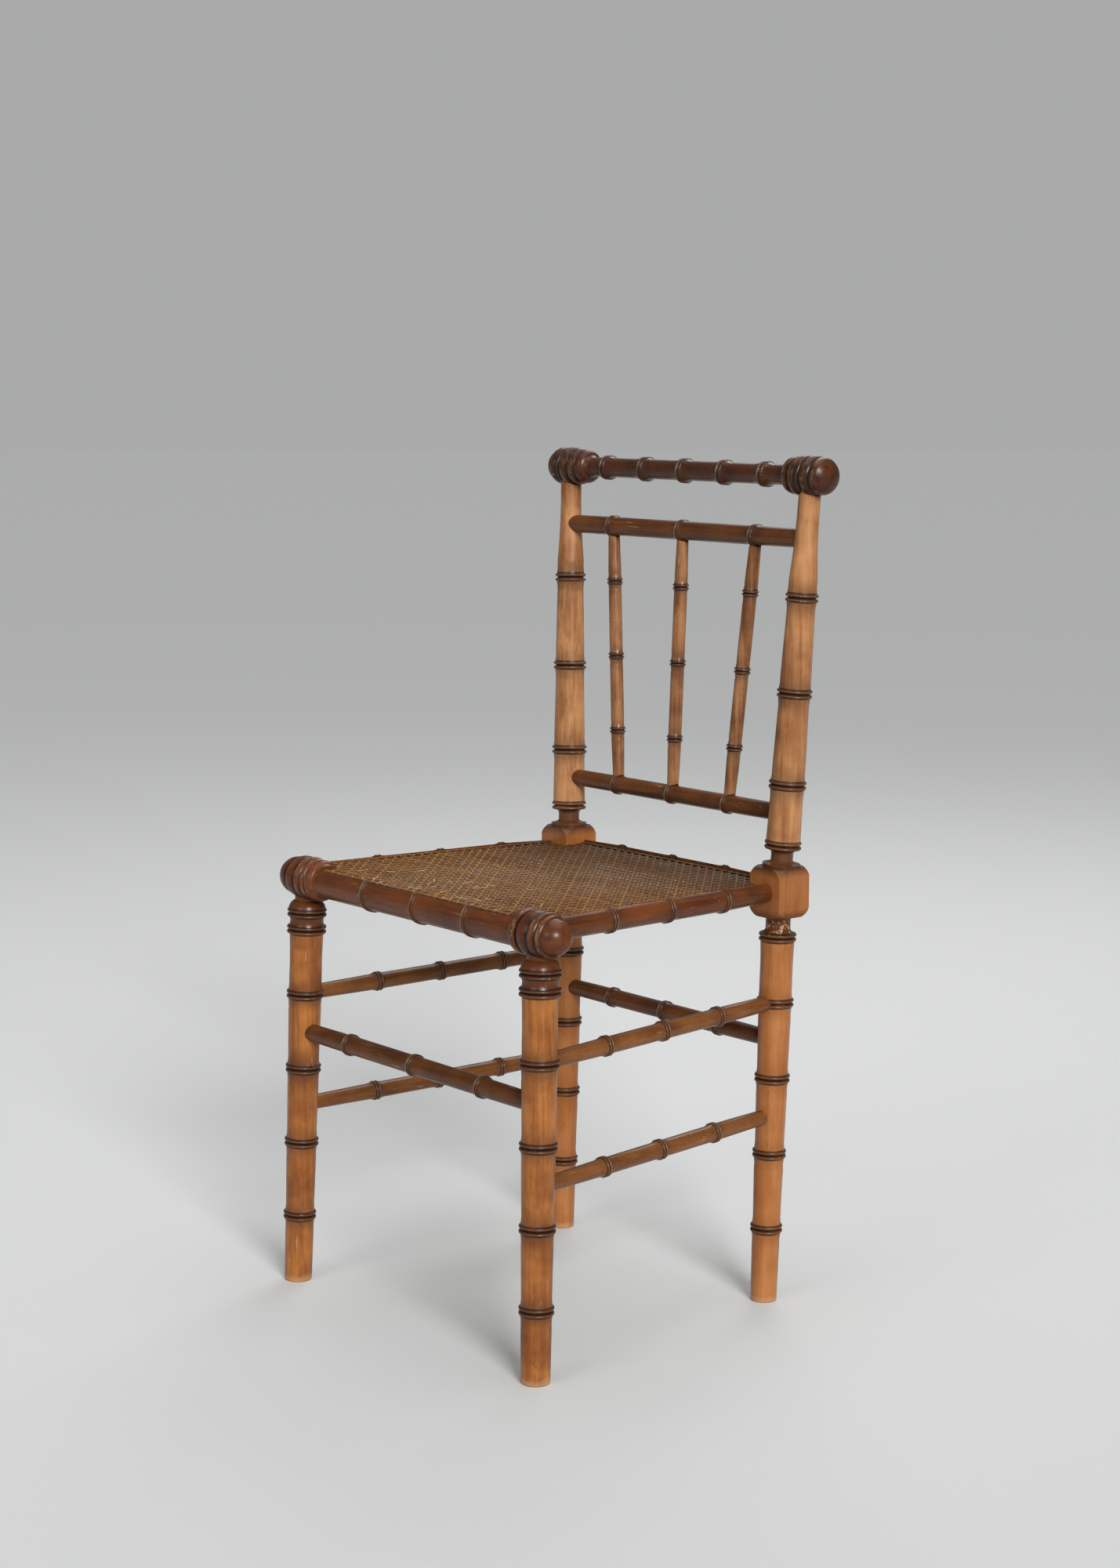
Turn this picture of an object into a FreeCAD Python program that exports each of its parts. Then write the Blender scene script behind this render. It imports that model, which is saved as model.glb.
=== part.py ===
import FreeCAD
import Part
import math
import os

os.makedirs("parts", exist_ok=True)

# A faux bamboo side chair. Millimetres, Z up, the sitter faces -Y, the floor is at Z = 0.
# X values of the plan are half spacings: the right-hand half is drawn and the left-hand one mirrored.

# Plan of the frame and the seat's place on its rails
FRONT_FOOT_X = 201.5
FRONT_FOOT_Y = -188.0
FRONT_TOP_X = 193.5
FRONT_TOP_Y = -174.0
REAR_FOOT_X = 165.5
REAR_FOOT_Y = 149.5
BLOCK_X = 169.0
BLOCK_Y = 162.5
CREST_X = 188.0
CREST_Y = 181.8
SEAT_FLAT_LIFT = 11.0
SEAT_FALL = 7.0
SIDE_RAIL_FRONT_LIFT = 3.0
SIDE_RAIL_REAR_LIFT = 0.8
REAR_RAIL_LIFT = 2.0

# Joints
SAME_POINT = 0.001
GLUE_GAP = 0.1
END_GAP = 1.0
TENON_ROOT = 5.0

# Bamboo rings: two beads with a groove between them, on a shaft that flares towards them
RING_HALF = 4.2
RING_GROOVE = 0.9
RING_GROOVE_DEPTH = 3.0
RING_RISE = 2.3
RING_FLARE = 14.0
RING_FLARE_LIFT = 0.6
NODE_HALF = 3.4
NODE_GROOVE = 0.6
NODE_GROOVE_DEPTH = 1.6
NODE_RISE = 1.9
NODE_FLARE = 10.0
NODE_FLARE_LIFT = 1.0
CURVE_SAG = 0.4
NECK_SAG = 1.0

# Legs are spun so that the seams of their faces lie clear of the joints.
LEG_SPIN = 140.0

# Front legs
FRONT_FOOT_R = 14.5
FRONT_SHAFT_R = 17.8
FRONT_RING_LOW_Z = 71.9
LEG_RING_PITCH = 80.2
LEG_RING_COUNT = 4
FOOT_ROUND = 4.0
FOOT_BULGE = 1.0
FOOT_SPARE = 2.0
COLLAR_LOW_RISE = 69.5
COLLAR_HIGH_RISE = 18.0
FRONT_RAIL_RISE = 36.5
COLLAR_R = 20.7
COLLAR_WAIST_R = 18.5
COLLAR_SHOULDER = 1.2
CAP_TOP_R = 13.0
CAP_BULGE = 1.5
LEG_TENON_R = 9.0
LEG_TENON_TOP = 8.0

# Back posts, each one stick with a square block at the seat
REAR_FOOT_R = 13.7
REAR_SHAFT_R = 17.6
REAR_RING_LOW_Z = 77.9
REAR_COLLAR_RISE = 68.5
BLOCK_RISE = 47.5
REAR_COLLAR_R = 19.4
LOWER_NECK_R = 12.8
UPPER_NECK_R = 11.4
NECK_FLARE = 5.0
BLOCK_SIZE = 43.0
BLOCK_HEIGHT = 51.0
BLOCK_CHAMFER = 8.5
BLOCK_CHAMFER_R = 24.0
BLOCK_COLLAR_R = 19.6
BLOCK_COLLAR_HEIGHT = 6.5
POST_RING_1_RISE = 48.0
POST_RING_2_RISE = 62.5
POST_RING_3_RISE = 94.0
POST_RING_4_RISE = 97.5
CREST_RISE = 122.0
POST_LOW_R = 17.8
POST_LOW_RISE = 1.2
POST_HIGH_R = 14.6
POST_TOP_R = 11.3
POST_TENON_R = 8.0
POST_TENON_TOP = 8.0

# Beehive ends of the crest rail and of the front seat rail: ribs from left to right, the same at both ends
RIB_DEPTH = 3.0
RIB_ROUND = 0.4
BELL_LENGTH = 16.0
BELL_HOLLOW_SHARE = 0.28
BELL_BULGE = 2.8
HIVE_LENGTH = 46.0
HIVE_CENTRE = -2.0
DOME_STEP = 1.8
CREST_BALL_R = 21.4
CREST_DOME_END = 29.5
CREST_RIB_LEFT_X = -18.0
CREST_RIB_WIDE = 12.3
CREST_RIB_THIN = 5.5
FRONT_BALL_R = 23.2
FRONT_DOME_END = 37.0
FRONT_RIB_LEFT_X = -15.0
FRONT_RIB_WIDE = 18.0
FRONT_RIB_MIDDLE = 10.0
FRONT_RIB_THIN = 8.0

# Crest rail and back rails
CREST_SHAFT_R = 10.4
CREST_RING_PITCH = 61.8
CREST_RING_PAIRS = 2
CREST_RING_HALF = 4.5
CREST_RING_GROOVE_DEPTH = 1.2
CREST_RING_RISE = 3.0
CREST_RING_LIFT = 1.8
UPPER_RAIL_DROP = 63.0
UPPER_RAIL_END_R = 9.7
UPPER_RAIL_R = 9.9
UPPER_RAIL_PITCH = 112.0
LOWER_RAIL_RISE = 32.5
LOWER_RAIL_END_R = 8.8
LOWER_RAIL_R = 9.2
LOWER_RAIL_PITCH = 88.0
RAIL_TENON_SHARE = 0.6
RAIL_TENON_TIP = 3.0

# Spindles
SPINDLE_END_R = 6.0
SPINDLE_R = 7.1
SPINDLE_RING_RISE = 1.6
SPINDLE_RING_SHARE = 0.288
SPINDLE_RING_HALF = 2.8
SPINDLE_RING_GROOVE = 0.6
SPINDLE_GROOVE_DEPTH = 1.8
SPINDLE_FLARE = 8.0
SPINDLE_FLARE_LIFT = 0.5
SPINDLE_TENON_R = 4.0
SPINDLE_TENON_TIP = 3.0

# Seat rails
FRONT_RAIL_R = 17.2
FRONT_RAIL_PITCH = 84.0
FRONT_RAIL_PAIRS = 1
FRONT_RING_SHIFT = 10.5
SIDE_RAIL_FRONT_R = 11.6
SIDE_RAIL_BLOCK_R = 9.8
SIDE_RAIL_R = 11.8
SIDE_RAIL_PITCH = 80.0
REAR_RAIL_END_R = 9.8
REAR_RAIL_R = 11.6
REAR_RAIL_PITCH = 82.5
SEAT_TENON_R = 6.0
SIDE_TENON_TIP = 11.2
BLOCK_TENON_TIP = 8.4

# Stretchers
FRONT_STRETCHER_END_R = 9.0
FRONT_STRETCHER_R = 9.6
FRONT_STRETCHER_PITCH = 111.0
REAR_STRETCHER_END_R = 8.6
REAR_STRETCHER_R = 9.2
REAR_STRETCHER_PITCH = 86.0
SIDE_STRETCHER_END_R = 7.6
SIDE_STRETCHER_R = 8.6
SIDE_STRETCHER_PITCH = 80.0
STRETCHER_TENON_R = 5.2
STRETCHER_TENON_TIP = 4.0

# Cane seat and the binding strip on its edge
CANE_THICK = 2.0
CANE_GAP = 0.1
CANE_EDGE = 1.0
CANE_NOTCH = 2.0
FRONT_RIM_SET = 10.5
RIM_SET = 4.5
BINDER_WIDTH = 4.5
BINDER_THICK = 1.2
NET_PITCH = 20.0
NET_HOLE = 13.0
NET_BORDER = 6.0

UP = FreeCAD.Vector(0, 0, 1)
ORIGIN = FreeCAD.Vector(0, 0, 0)
MIRROR_NORMAL = FreeCAD.Vector(1, 0, 0)


def point(x, y, z):
    return FreeCAD.Vector(x, y, z)


def at_height(low, high, z):
    """The point at height z on the line through two points."""
    share = (z - low.z) / (high.z - low.z)
    return low + (high - low) * share


def unit(vector):
    direction = FreeCAD.Vector(vector)
    direction.normalize()
    return direction


def other_side(shape):
    """The mirror image of a right-hand shape, for the left of the chair."""
    return shape.mirror(ORIGIN, MIRROR_NORMAL)


def left_of(right):
    return point(-right.x, right.y, right.z)


def span(start, end, bulge):
    """One edge of an outline: a line, an arc that rises by bulge, or a hollow where bulge is negative."""
    if bulge == 0:
        return Part.makeLine(start, end)
    chord = end - start
    outward = unit(point(chord.z, 0, -chord.x))
    middle = (start + end) * 0.5 + outward * bulge
    if bulge > 0:
        return Part.Arc(start, middle, end).toShape()
    hollow = Part.BezierCurve()
    hollow.setPoles([start, middle + outward * bulge, end])
    return hollow.toShape()


def turned(path, grow=0.0):
    """A solid turned about Z from (height, radius, bulge) steps, made grow larger all round."""
    corners = [point(radius + grow, 0, height) for height, radius, bulge in path]
    foot = point(0, 0, path[0][0])
    head = point(0, 0, path[-1][0])
    if path[0][1] == 0:
        foot = foot - UP * grow
        corners[0] = foot
    if path[-1][1] == 0:
        head = head + UP * grow
        corners[-1] = head
    corners = [foot] + corners + [head, foot]
    bulges = [0, 0] + [bulge for height, radius, bulge in path[1:]] + [0, 0]
    edges = []
    for index in range(1, len(corners)):
        if not corners[index].isEqual(corners[index - 1], SAME_POINT):
            edges.append(span(corners[index - 1], corners[index], bulges[index]))
    return Part.Face(Part.Wire(edges)).revolve(ORIGIN, UP, 360)


def flipped(path):
    """The same outline turned end for end."""
    steps = []
    bulge = 0
    for height, radius, next_bulge in reversed(path):
        steps.append((-height, radius, bulge))
        bulge = next_bulge
    return steps


def along(shape, start, end, spin=0.0):
    """Lay a shape turned about Z on the line from start towards end, spun about its own axis."""
    lean = FreeCAD.Rotation(UP, end - start)
    laid = shape.copy()
    laid.Placement = FreeCAD.Placement(start, lean.multiply(FreeCAD.Rotation(UP, spin)))
    return laid


class RingStyle:
    """Sizes of one kind of bamboo ring."""

    def __init__(self, half, groove, depth, rise, flare, lift):
        self.half = half
        self.groove = groove
        self.depth = depth
        self.rise = rise
        self.flare = flare
        self.lift = lift


LEG_RING = RingStyle(
    RING_HALF, RING_GROOVE, RING_GROOVE_DEPTH, RING_RISE, RING_FLARE, RING_FLARE_LIFT)
NODE_RING = RingStyle(
    NODE_HALF, NODE_GROOVE, NODE_GROOVE_DEPTH, NODE_RISE, NODE_FLARE, NODE_FLARE_LIFT)
CREST_RING = RingStyle(
    CREST_RING_HALF, NODE_GROOVE, CREST_RING_GROOVE_DEPTH, CREST_RING_RISE, NODE_FLARE, CREST_RING_LIFT)
SPINDLE_RING = RingStyle(
    SPINDLE_RING_HALF, SPINDLE_RING_GROOVE, SPINDLE_GROOVE_DEPTH, SPINDLE_RING_RISE,
    SPINDLE_FLARE, SPINDLE_FLARE_LIFT)


def beads(style, height, low, high, crest, sag):
    """Two beads and a groove between a neck of radius low and the next one of radius high."""
    swell = (style.half - style.groove) / 2
    shoulder = crest - swell
    return [
        (height - style.half, low, -sag),
        (height - style.half, shoulder, 0),
        (height - style.groove, shoulder, swell),
        (height, crest - style.depth, 0),
        (height + style.groove, shoulder, 0),
        (height + style.half, shoulder, swell),
        (height + style.half, high, 0),
    ]


def ring(style, height, radius):
    """Beads on a shaft that flares up to them from both sides."""
    edge = radius + style.lift
    steps = [(height - style.half - style.flare, radius, 0)]
    steps += beads(style, height, edge, edge, radius + style.rise, CURVE_SAG)
    steps.append((height + style.half + style.flare, radius, -CURVE_SAG))
    return steps


def stick(length, start_radius, end_radius, radius, pitch):
    """A rail or stretcher with three bamboo nodes about its middle."""
    path = [(0, start_radius, 0)]
    for place in (-1, 0, 1):
        path += ring(NODE_RING, length / 2 + place * pitch, radius)
    path.append((length, end_radius, 0))
    return path


def hive(centre, neck, ball, dome_end, marks):
    """The beehive end of a rail: a bell, ribs between grooves at marks and a dome, about the point centre."""
    def crown(place):
        share = (place - HIVE_CENTRE) / HIVE_LENGTH
        return ball * math.sqrt(1 - share * share)

    inner = marks[0]
    outer = marks[-1]
    hollow = BELL_LENGTH * BELL_HOLLOW_SHARE
    waist = neck + (crown(inner) - neck) * BELL_HOLLOW_SHARE
    steps = [(centre + inner - BELL_LENGTH, neck, 0)]
    steps.append((centre + inner - BELL_LENGTH + hollow, waist, -CURVE_SAG))
    steps.append((centre + inner, crown(inner) - RIB_DEPTH / 2, BELL_BULGE))
    steps.append((centre + inner, crown(inner) - RIB_DEPTH, 0))
    for near, far in zip(marks, marks[1:]):
        steps.append((centre + far, crown(far) - RIB_DEPTH, min(RIB_DEPTH, (far - near) * RIB_ROUND)))
    dome = crown(outer) - DOME_STEP
    dome_length = dome_end - outer
    sphere = (dome * dome + dome_length * dome_length) / (2 * dome_length)
    half_chord = math.hypot(dome, dome_length) / 2
    steps.append((centre + outer, dome, 0))
    steps.append((centre + dome_end, 0, sphere - math.sqrt(sphere ** 2 - half_chord ** 2)))
    return steps


def tapered(height, low_z, low_r, high_z, high_r):
    return low_r + (high_r - low_r) * (height - low_z) / (high_z - low_z)


def pin(mate, towards, radius, tip, root):
    """A round tenon on the line from a mating axis, its tip that far from the axis."""
    direction = unit(towards - mate)
    return Part.makeCylinder(radius, root - tip, mate + direction * tip, direction)


def socket(mate, towards, radius, tip, mouth):
    """The hole for such a tenon, with the glue gap round it and room at its end."""
    return pin(mate, towards, radius + GLUE_GAP, tip - END_GAP, mouth)


def main_solid(shape):
    return max(shape.Solids, key=lambda solid: solid.Volume)


# Heights, built up from the floor: each rise is counted from the ring, collar or block below
leg_rings_height = (LEG_RING_COUNT - 1) * LEG_RING_PITCH
front_ring_top_z = FRONT_RING_LOW_Z + leg_rings_height
collar_low_z = front_ring_top_z + COLLAR_LOW_RISE
collar_high_z = collar_low_z + COLLAR_HIGH_RISE
front_rail_z = collar_high_z + FRONT_RAIL_RISE
seat_flat_z = front_rail_z + SEAT_FLAT_LIFT
rear_ring_top_z = REAR_RING_LOW_Z + leg_rings_height
rear_collar_z = rear_ring_top_z + REAR_COLLAR_RISE
block_z = rear_collar_z + BLOCK_RISE
post_ring_1_z = block_z + POST_RING_1_RISE
post_ring_2_z = post_ring_1_z + POST_RING_2_RISE
post_ring_3_z = post_ring_2_z + POST_RING_3_RISE
post_ring_4_z = post_ring_3_z + POST_RING_4_RISE
crest_z = post_ring_4_z + CREST_RISE
upper_rail_z = crest_z - UPPER_RAIL_DROP
lower_rail_z = post_ring_1_z + LOWER_RAIL_RISE

# Axes of the right-hand half
front_foot = point(FRONT_FOOT_X, FRONT_FOOT_Y, 0)
front_top = point(FRONT_TOP_X, FRONT_TOP_Y, front_rail_z)
rear_foot = point(REAR_FOOT_X, REAR_FOOT_Y, 0)
block_centre = point(BLOCK_X, BLOCK_Y, block_z)
crest_end = point(CREST_X, CREST_Y, crest_z)

# Heights of the stretchers: on the top ring, or halfway between two rings
front_bay_2_z = front_ring_top_z - LEG_RING_PITCH / 2
front_bay_3_z = front_bay_2_z - LEG_RING_PITCH
rear_bay_2_z = rear_ring_top_z - LEG_RING_PITCH / 2
rear_bay_3_z = rear_bay_2_z - LEG_RING_PITCH


def foot_steps(foot_radius):
    """The rounded end of a leg, a little longer than the floor needs so that it can be cut level."""
    return [
        (-FOOT_SPARE, foot_radius - FOOT_ROUND, 0),
        (FOOT_ROUND - FOOT_SPARE, foot_radius, FOOT_BULGE),
    ]


def leg_steps(foot_radius, shaft_radius, top_ring, shaft_top):
    """A leg from its foot up past its top ring."""
    path = foot_steps(foot_radius)
    for index in range(LEG_RING_COUNT - 1, -1, -1):
        height = top_ring - index * LEG_RING_PITCH
        radius = tapered(height, 0, foot_radius, shaft_top, shaft_radius)
        path += ring(LEG_RING, height, radius)
    return path


# Front legs
front_path = leg_steps(FRONT_FOOT_R, FRONT_SHAFT_R, front_ring_top_z, collar_low_z)
front_path += beads(
    LEG_RING, collar_low_z, FRONT_SHAFT_R, COLLAR_WAIST_R, COLLAR_R, CURVE_SAG)
front_path += beads(
    LEG_RING, collar_high_z, COLLAR_WAIST_R, COLLAR_R - COLLAR_SHOULDER, COLLAR_R, NECK_SAG)
front_path.append((front_rail_z - FRONT_BALL_R, CAP_TOP_R, CAP_BULGE))
front_path.append((front_rail_z - CAP_TOP_R, CAP_TOP_R, 0))
front_leg = along(turned(front_path), front_foot, front_top, LEG_SPIN)
front_leg_room = along(turned(front_path, GLUE_GAP), front_foot, front_top, LEG_SPIN)

# Back posts
rear_path = leg_steps(REAR_FOOT_R, REAR_SHAFT_R, rear_ring_top_z, rear_collar_z)
rear_path += beads(
    LEG_RING, rear_collar_z, REAR_SHAFT_R, REAR_COLLAR_R - RING_RISE, REAR_COLLAR_R, CURVE_SAG)
rear_path.append((rear_collar_z + RING_HALF + NECK_FLARE, LOWER_NECK_R, -NECK_SAG))
rear_path.append((block_z, LOWER_NECK_R, 0))

block_corner = BLOCK_SIZE * math.sqrt(2) / 2
block_path = [
    (-BLOCK_HEIGHT / 2, BLOCK_CHAMFER_R, 0),
    (-BLOCK_HEIGHT / 2 + BLOCK_CHAMFER, block_corner, NECK_SAG),
    (BLOCK_HEIGHT / 2 - BLOCK_CHAMFER, block_corner, 0),
    (BLOCK_HEIGHT / 2, BLOCK_CHAMFER_R, NECK_SAG),
]
block_square = Part.makeBox(BLOCK_SIZE, BLOCK_SIZE, BLOCK_HEIGHT)
block_square.translate(point(-BLOCK_SIZE / 2, -BLOCK_SIZE / 2, -BLOCK_HEIGHT / 2))
block = turned(block_path).common(block_square)
block.translate(block_centre)

# The upper stick starts at the middle of the block, so its heights count from there.
post_collar_z = BLOCK_HEIGHT / 2 + BLOCK_COLLAR_HEIGHT
post_neck_z = post_ring_1_z - block_z - RING_HALF - NECK_FLARE
post_path = [
    (0, BLOCK_COLLAR_R, 0),
    (post_collar_z - BLOCK_COLLAR_HEIGHT / 2, BLOCK_COLLAR_R, 0),
    (post_collar_z, UPPER_NECK_R, -NECK_SAG),
    (post_neck_z, UPPER_NECK_R, 0),
]
post_path += beads(
    LEG_RING, post_ring_1_z - block_z, POST_LOW_R - RING_RISE, POST_LOW_R,
    POST_LOW_R + POST_LOW_RISE, NECK_SAG)
for ring_z in (post_ring_2_z, post_ring_3_z, post_ring_4_z):
    post_radius = tapered(ring_z, post_ring_1_z, POST_LOW_R, post_ring_4_z, POST_HIGH_R)
    post_path += ring(LEG_RING, ring_z - block_z, post_radius)
post_path.append((crest_z - CREST_BALL_R - block_z, POST_TOP_R, -NECK_SAG))
post_path.append((crest_z - POST_TOP_R - block_z, POST_TOP_R, 0))

lower_stick = along(turned(rear_path), rear_foot, block_centre, LEG_SPIN)
upper_stick = along(turned(post_path), block_centre, crest_end, LEG_SPIN)
post = lower_stick.fuse([block, upper_stick])
block_room = Part.makeBox(BLOCK_SIZE + 2 * GLUE_GAP, BLOCK_SIZE + 2 * GLUE_GAP, BLOCK_HEIGHT)
block_room.translate(
    block_centre - point(BLOCK_SIZE / 2 + GLUE_GAP, BLOCK_SIZE / 2 + GLUE_GAP, BLOCK_HEIGHT / 2))
lower_room = along(turned(rear_path, GLUE_GAP), rear_foot, block_centre, LEG_SPIN)
upper_room = along(turned(post_path, GLUE_GAP), block_centre, crest_end, LEG_SPIN)


def marks_of(left_x, widths):
    """Places of the grooves between ribs, from left to right."""
    marks = [left_x]
    for width in widths:
        marks.append(marks[-1] + width)
    return marks


crest_marks = marks_of(CREST_RIB_LEFT_X, (CREST_RIB_WIDE, CREST_RIB_THIN, CREST_RIB_WIDE, CREST_RIB_WIDE))
front_marks = marks_of(FRONT_RIB_LEFT_X, (FRONT_RIB_WIDE, FRONT_RIB_MIDDLE, FRONT_RIB_THIN))


def hive_rail(half_length, nodes, shaft, ball, dome_end, marks, grow):
    """A rail with a beehive at each end, its ribs in the same order at both ends, laid along X."""
    left_marks = [-mark for mark in reversed(marks)]
    path = flipped(hive(half_length, shaft, ball, dome_end, left_marks))
    path += nodes
    path += hive(half_length, shaft, ball, dome_end, marks)
    return along(turned(path, grow), ORIGIN, MIRROR_NORMAL)


def crest_shape(grow=0.0):
    nodes = []
    for index in range(-CREST_RING_PAIRS, CREST_RING_PAIRS + 1):
        nodes += ring(CREST_RING, index * CREST_RING_PITCH, CREST_SHAFT_R)
    rail = hive_rail(CREST_X, nodes, CREST_SHAFT_R, CREST_BALL_R, CREST_DOME_END, crest_marks, grow)
    rail.translate(point(0, CREST_Y, crest_z))
    return rail


def front_rail_shape(grow=0.0):
    nodes = []
    for index in range(-FRONT_RAIL_PAIRS, FRONT_RAIL_PAIRS + 1):
        nodes += ring(NODE_RING, FRONT_RING_SHIFT + index * FRONT_RAIL_PITCH, FRONT_RAIL_R)
    rail = hive_rail(FRONT_TOP_X, nodes, FRONT_RAIL_R, FRONT_BALL_R, FRONT_DOME_END, front_marks, grow)
    rail.translate(point(0, FRONT_TOP_Y, front_rail_z))
    return rail


crest_rail = crest_shape()
crest_room = crest_shape(GLUE_GAP)
front_seat_rail = front_rail_shape()
front_rail_room = front_rail_shape(GLUE_GAP)
front_rail_rooms = [front_rail_room, other_side(front_rail_room)]

# The tops of the legs and posts are hollowed to the balls they carry, at either end, and end in tenons.
front_leg = front_leg.cut(front_rail_rooms)
front_leg = main_solid(front_leg).fuse(
    pin(front_top, front_foot, LEG_TENON_R, -LEG_TENON_TOP, FRONT_BALL_R + TENON_ROOT))
front_seat_rail = front_seat_rail.cut(
    socket(front_top, front_foot, LEG_TENON_R, -LEG_TENON_TOP, FRONT_BALL_R + TENON_ROOT))
front_seat_rail = front_seat_rail.cut(
    socket(left_of(front_top), left_of(front_foot), LEG_TENON_R, -LEG_TENON_TOP, FRONT_BALL_R + TENON_ROOT))
post = main_solid(post.cut([crest_room, other_side(crest_room)]))
post = post.fuse(pin(crest_end, block_centre, POST_TENON_R, -POST_TENON_TOP, CREST_BALL_R + TENON_ROOT))
for end, below in ((crest_end, block_centre), (left_of(crest_end), left_of(block_centre))):
    crest_rail = crest_rail.cut(
        socket(end, below, POST_TENON_R, -POST_TENON_TOP, CREST_BALL_R + TENON_ROOT))


def cross_piece(right_end, end_radius, radius, pitch, room, tenon_radius, tip):
    """A stick from the left side to the right side, shaped to the two pieces that it meets."""
    left_end = left_of(right_end)
    length = (right_end - left_end).Length
    body = along(turned(stick(length, end_radius, end_radius, radius, pitch)), left_end, right_end)
    body = main_solid(body.cut([room, other_side(room)]))
    root = length / 2 - pitch
    return body.fuse([
        pin(right_end, left_end, tenon_radius, tip, root),
        pin(left_end, right_end, tenon_radius, tip, root),
    ])


def side_piece(front_end, rear_end, front_radius, rear_radius, radius, pitch, rooms, tenon_radius, tips):
    """A stick of the right-hand side, from the front to the rear piece that it meets."""
    length = (rear_end - front_end).Length
    body = along(turned(stick(length, front_radius, rear_radius, radius, pitch)), front_end, rear_end)
    body = main_solid(body.cut(rooms))
    root = length / 2 - pitch
    return body.fuse([
        pin(front_end, rear_end, tenon_radius, tips[0], root),
        pin(rear_end, front_end, tenon_radius, tips[1], root),
    ])


# Back rails
upper_end = at_height(block_centre, crest_end, upper_rail_z)
lower_end = at_height(block_centre, crest_end, lower_rail_z)
upper_tenon_r = UPPER_RAIL_END_R * RAIL_TENON_SHARE
lower_tenon_r = LOWER_RAIL_END_R * RAIL_TENON_SHARE
upper_back_rail = cross_piece(
    upper_end, UPPER_RAIL_END_R, UPPER_RAIL_R, UPPER_RAIL_PITCH, upper_room, upper_tenon_r, RAIL_TENON_TIP)
lower_back_rail = cross_piece(
    lower_end, LOWER_RAIL_END_R, LOWER_RAIL_R, LOWER_RAIL_PITCH, upper_room, lower_tenon_r, RAIL_TENON_TIP)
post = post.cut([
    socket(upper_end, left_of(upper_end), upper_tenon_r, RAIL_TENON_TIP, POST_LOW_R + TENON_ROOT),
    socket(lower_end, left_of(lower_end), lower_tenon_r, RAIL_TENON_TIP, POST_LOW_R + TENON_ROOT),
])

# Stretchers
front_stretcher_end = at_height(front_foot, front_top, front_bay_2_z)
rear_stretcher_end = at_height(rear_foot, block_centre, rear_bay_2_z)
front_stretcher = cross_piece(
    front_stretcher_end, FRONT_STRETCHER_END_R, FRONT_STRETCHER_R, FRONT_STRETCHER_PITCH,
    front_leg_room, STRETCHER_TENON_R, STRETCHER_TENON_TIP)
rear_stretcher = cross_piece(
    rear_stretcher_end, REAR_STRETCHER_END_R, REAR_STRETCHER_R, REAR_STRETCHER_PITCH,
    lower_room, STRETCHER_TENON_R, STRETCHER_TENON_TIP)
stretcher_mouth = FRONT_SHAFT_R + TENON_ROOT
front_leg = front_leg.cut(socket(
    front_stretcher_end, left_of(front_stretcher_end),
    STRETCHER_TENON_R, STRETCHER_TENON_TIP, stretcher_mouth))
post = post.cut(socket(
    rear_stretcher_end, left_of(rear_stretcher_end),
    STRETCHER_TENON_R, STRETCHER_TENON_TIP, stretcher_mouth))

side_stretchers = []
for front_z, rear_z in ((front_ring_top_z, rear_ring_top_z), (front_bay_3_z, rear_bay_3_z)):
    front_end = at_height(front_foot, front_top, front_z)
    rear_end = at_height(rear_foot, block_centre, rear_z)
    side_stretchers.append(side_piece(
        front_end, rear_end, SIDE_STRETCHER_END_R, SIDE_STRETCHER_END_R, SIDE_STRETCHER_R,
        SIDE_STRETCHER_PITCH, [front_leg_room, lower_room], STRETCHER_TENON_R,
        (STRETCHER_TENON_TIP, STRETCHER_TENON_TIP)))
    front_leg = front_leg.cut(socket(
        front_end, rear_end, STRETCHER_TENON_R, STRETCHER_TENON_TIP, stretcher_mouth))
    post = post.cut(socket(
        rear_end, front_end, STRETCHER_TENON_R, STRETCHER_TENON_TIP, stretcher_mouth))

# Seat rails
side_front = front_top + UP * SIDE_RAIL_FRONT_LIFT
side_rear = block_centre + UP * SIDE_RAIL_REAR_LIFT
rear_rail_end = block_centre + UP * REAR_RAIL_LIFT
side_seat_rail = side_piece(
    side_front, side_rear, SIDE_RAIL_FRONT_R, SIDE_RAIL_BLOCK_R, SIDE_RAIL_R, SIDE_RAIL_PITCH,
    front_rail_rooms + [block_room], SEAT_TENON_R, (SIDE_TENON_TIP, BLOCK_TENON_TIP))
rear_seat_rail = cross_piece(
    rear_rail_end, REAR_RAIL_END_R, REAR_RAIL_R, REAR_RAIL_PITCH, block_room, SEAT_TENON_R, BLOCK_TENON_TIP)
for front_end, rear_end in ((side_front, side_rear), (left_of(side_front), left_of(side_rear))):
    front_seat_rail = front_seat_rail.cut(socket(
        front_end, rear_end, SEAT_TENON_R, SIDE_TENON_TIP, FRONT_BALL_R + TENON_ROOT))
post = post.cut([
    socket(side_rear, side_front, SEAT_TENON_R, BLOCK_TENON_TIP, BLOCK_SIZE),
    socket(rear_rail_end, left_of(rear_rail_end), SEAT_TENON_R, BLOCK_TENON_TIP, BLOCK_SIZE),
])

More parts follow.
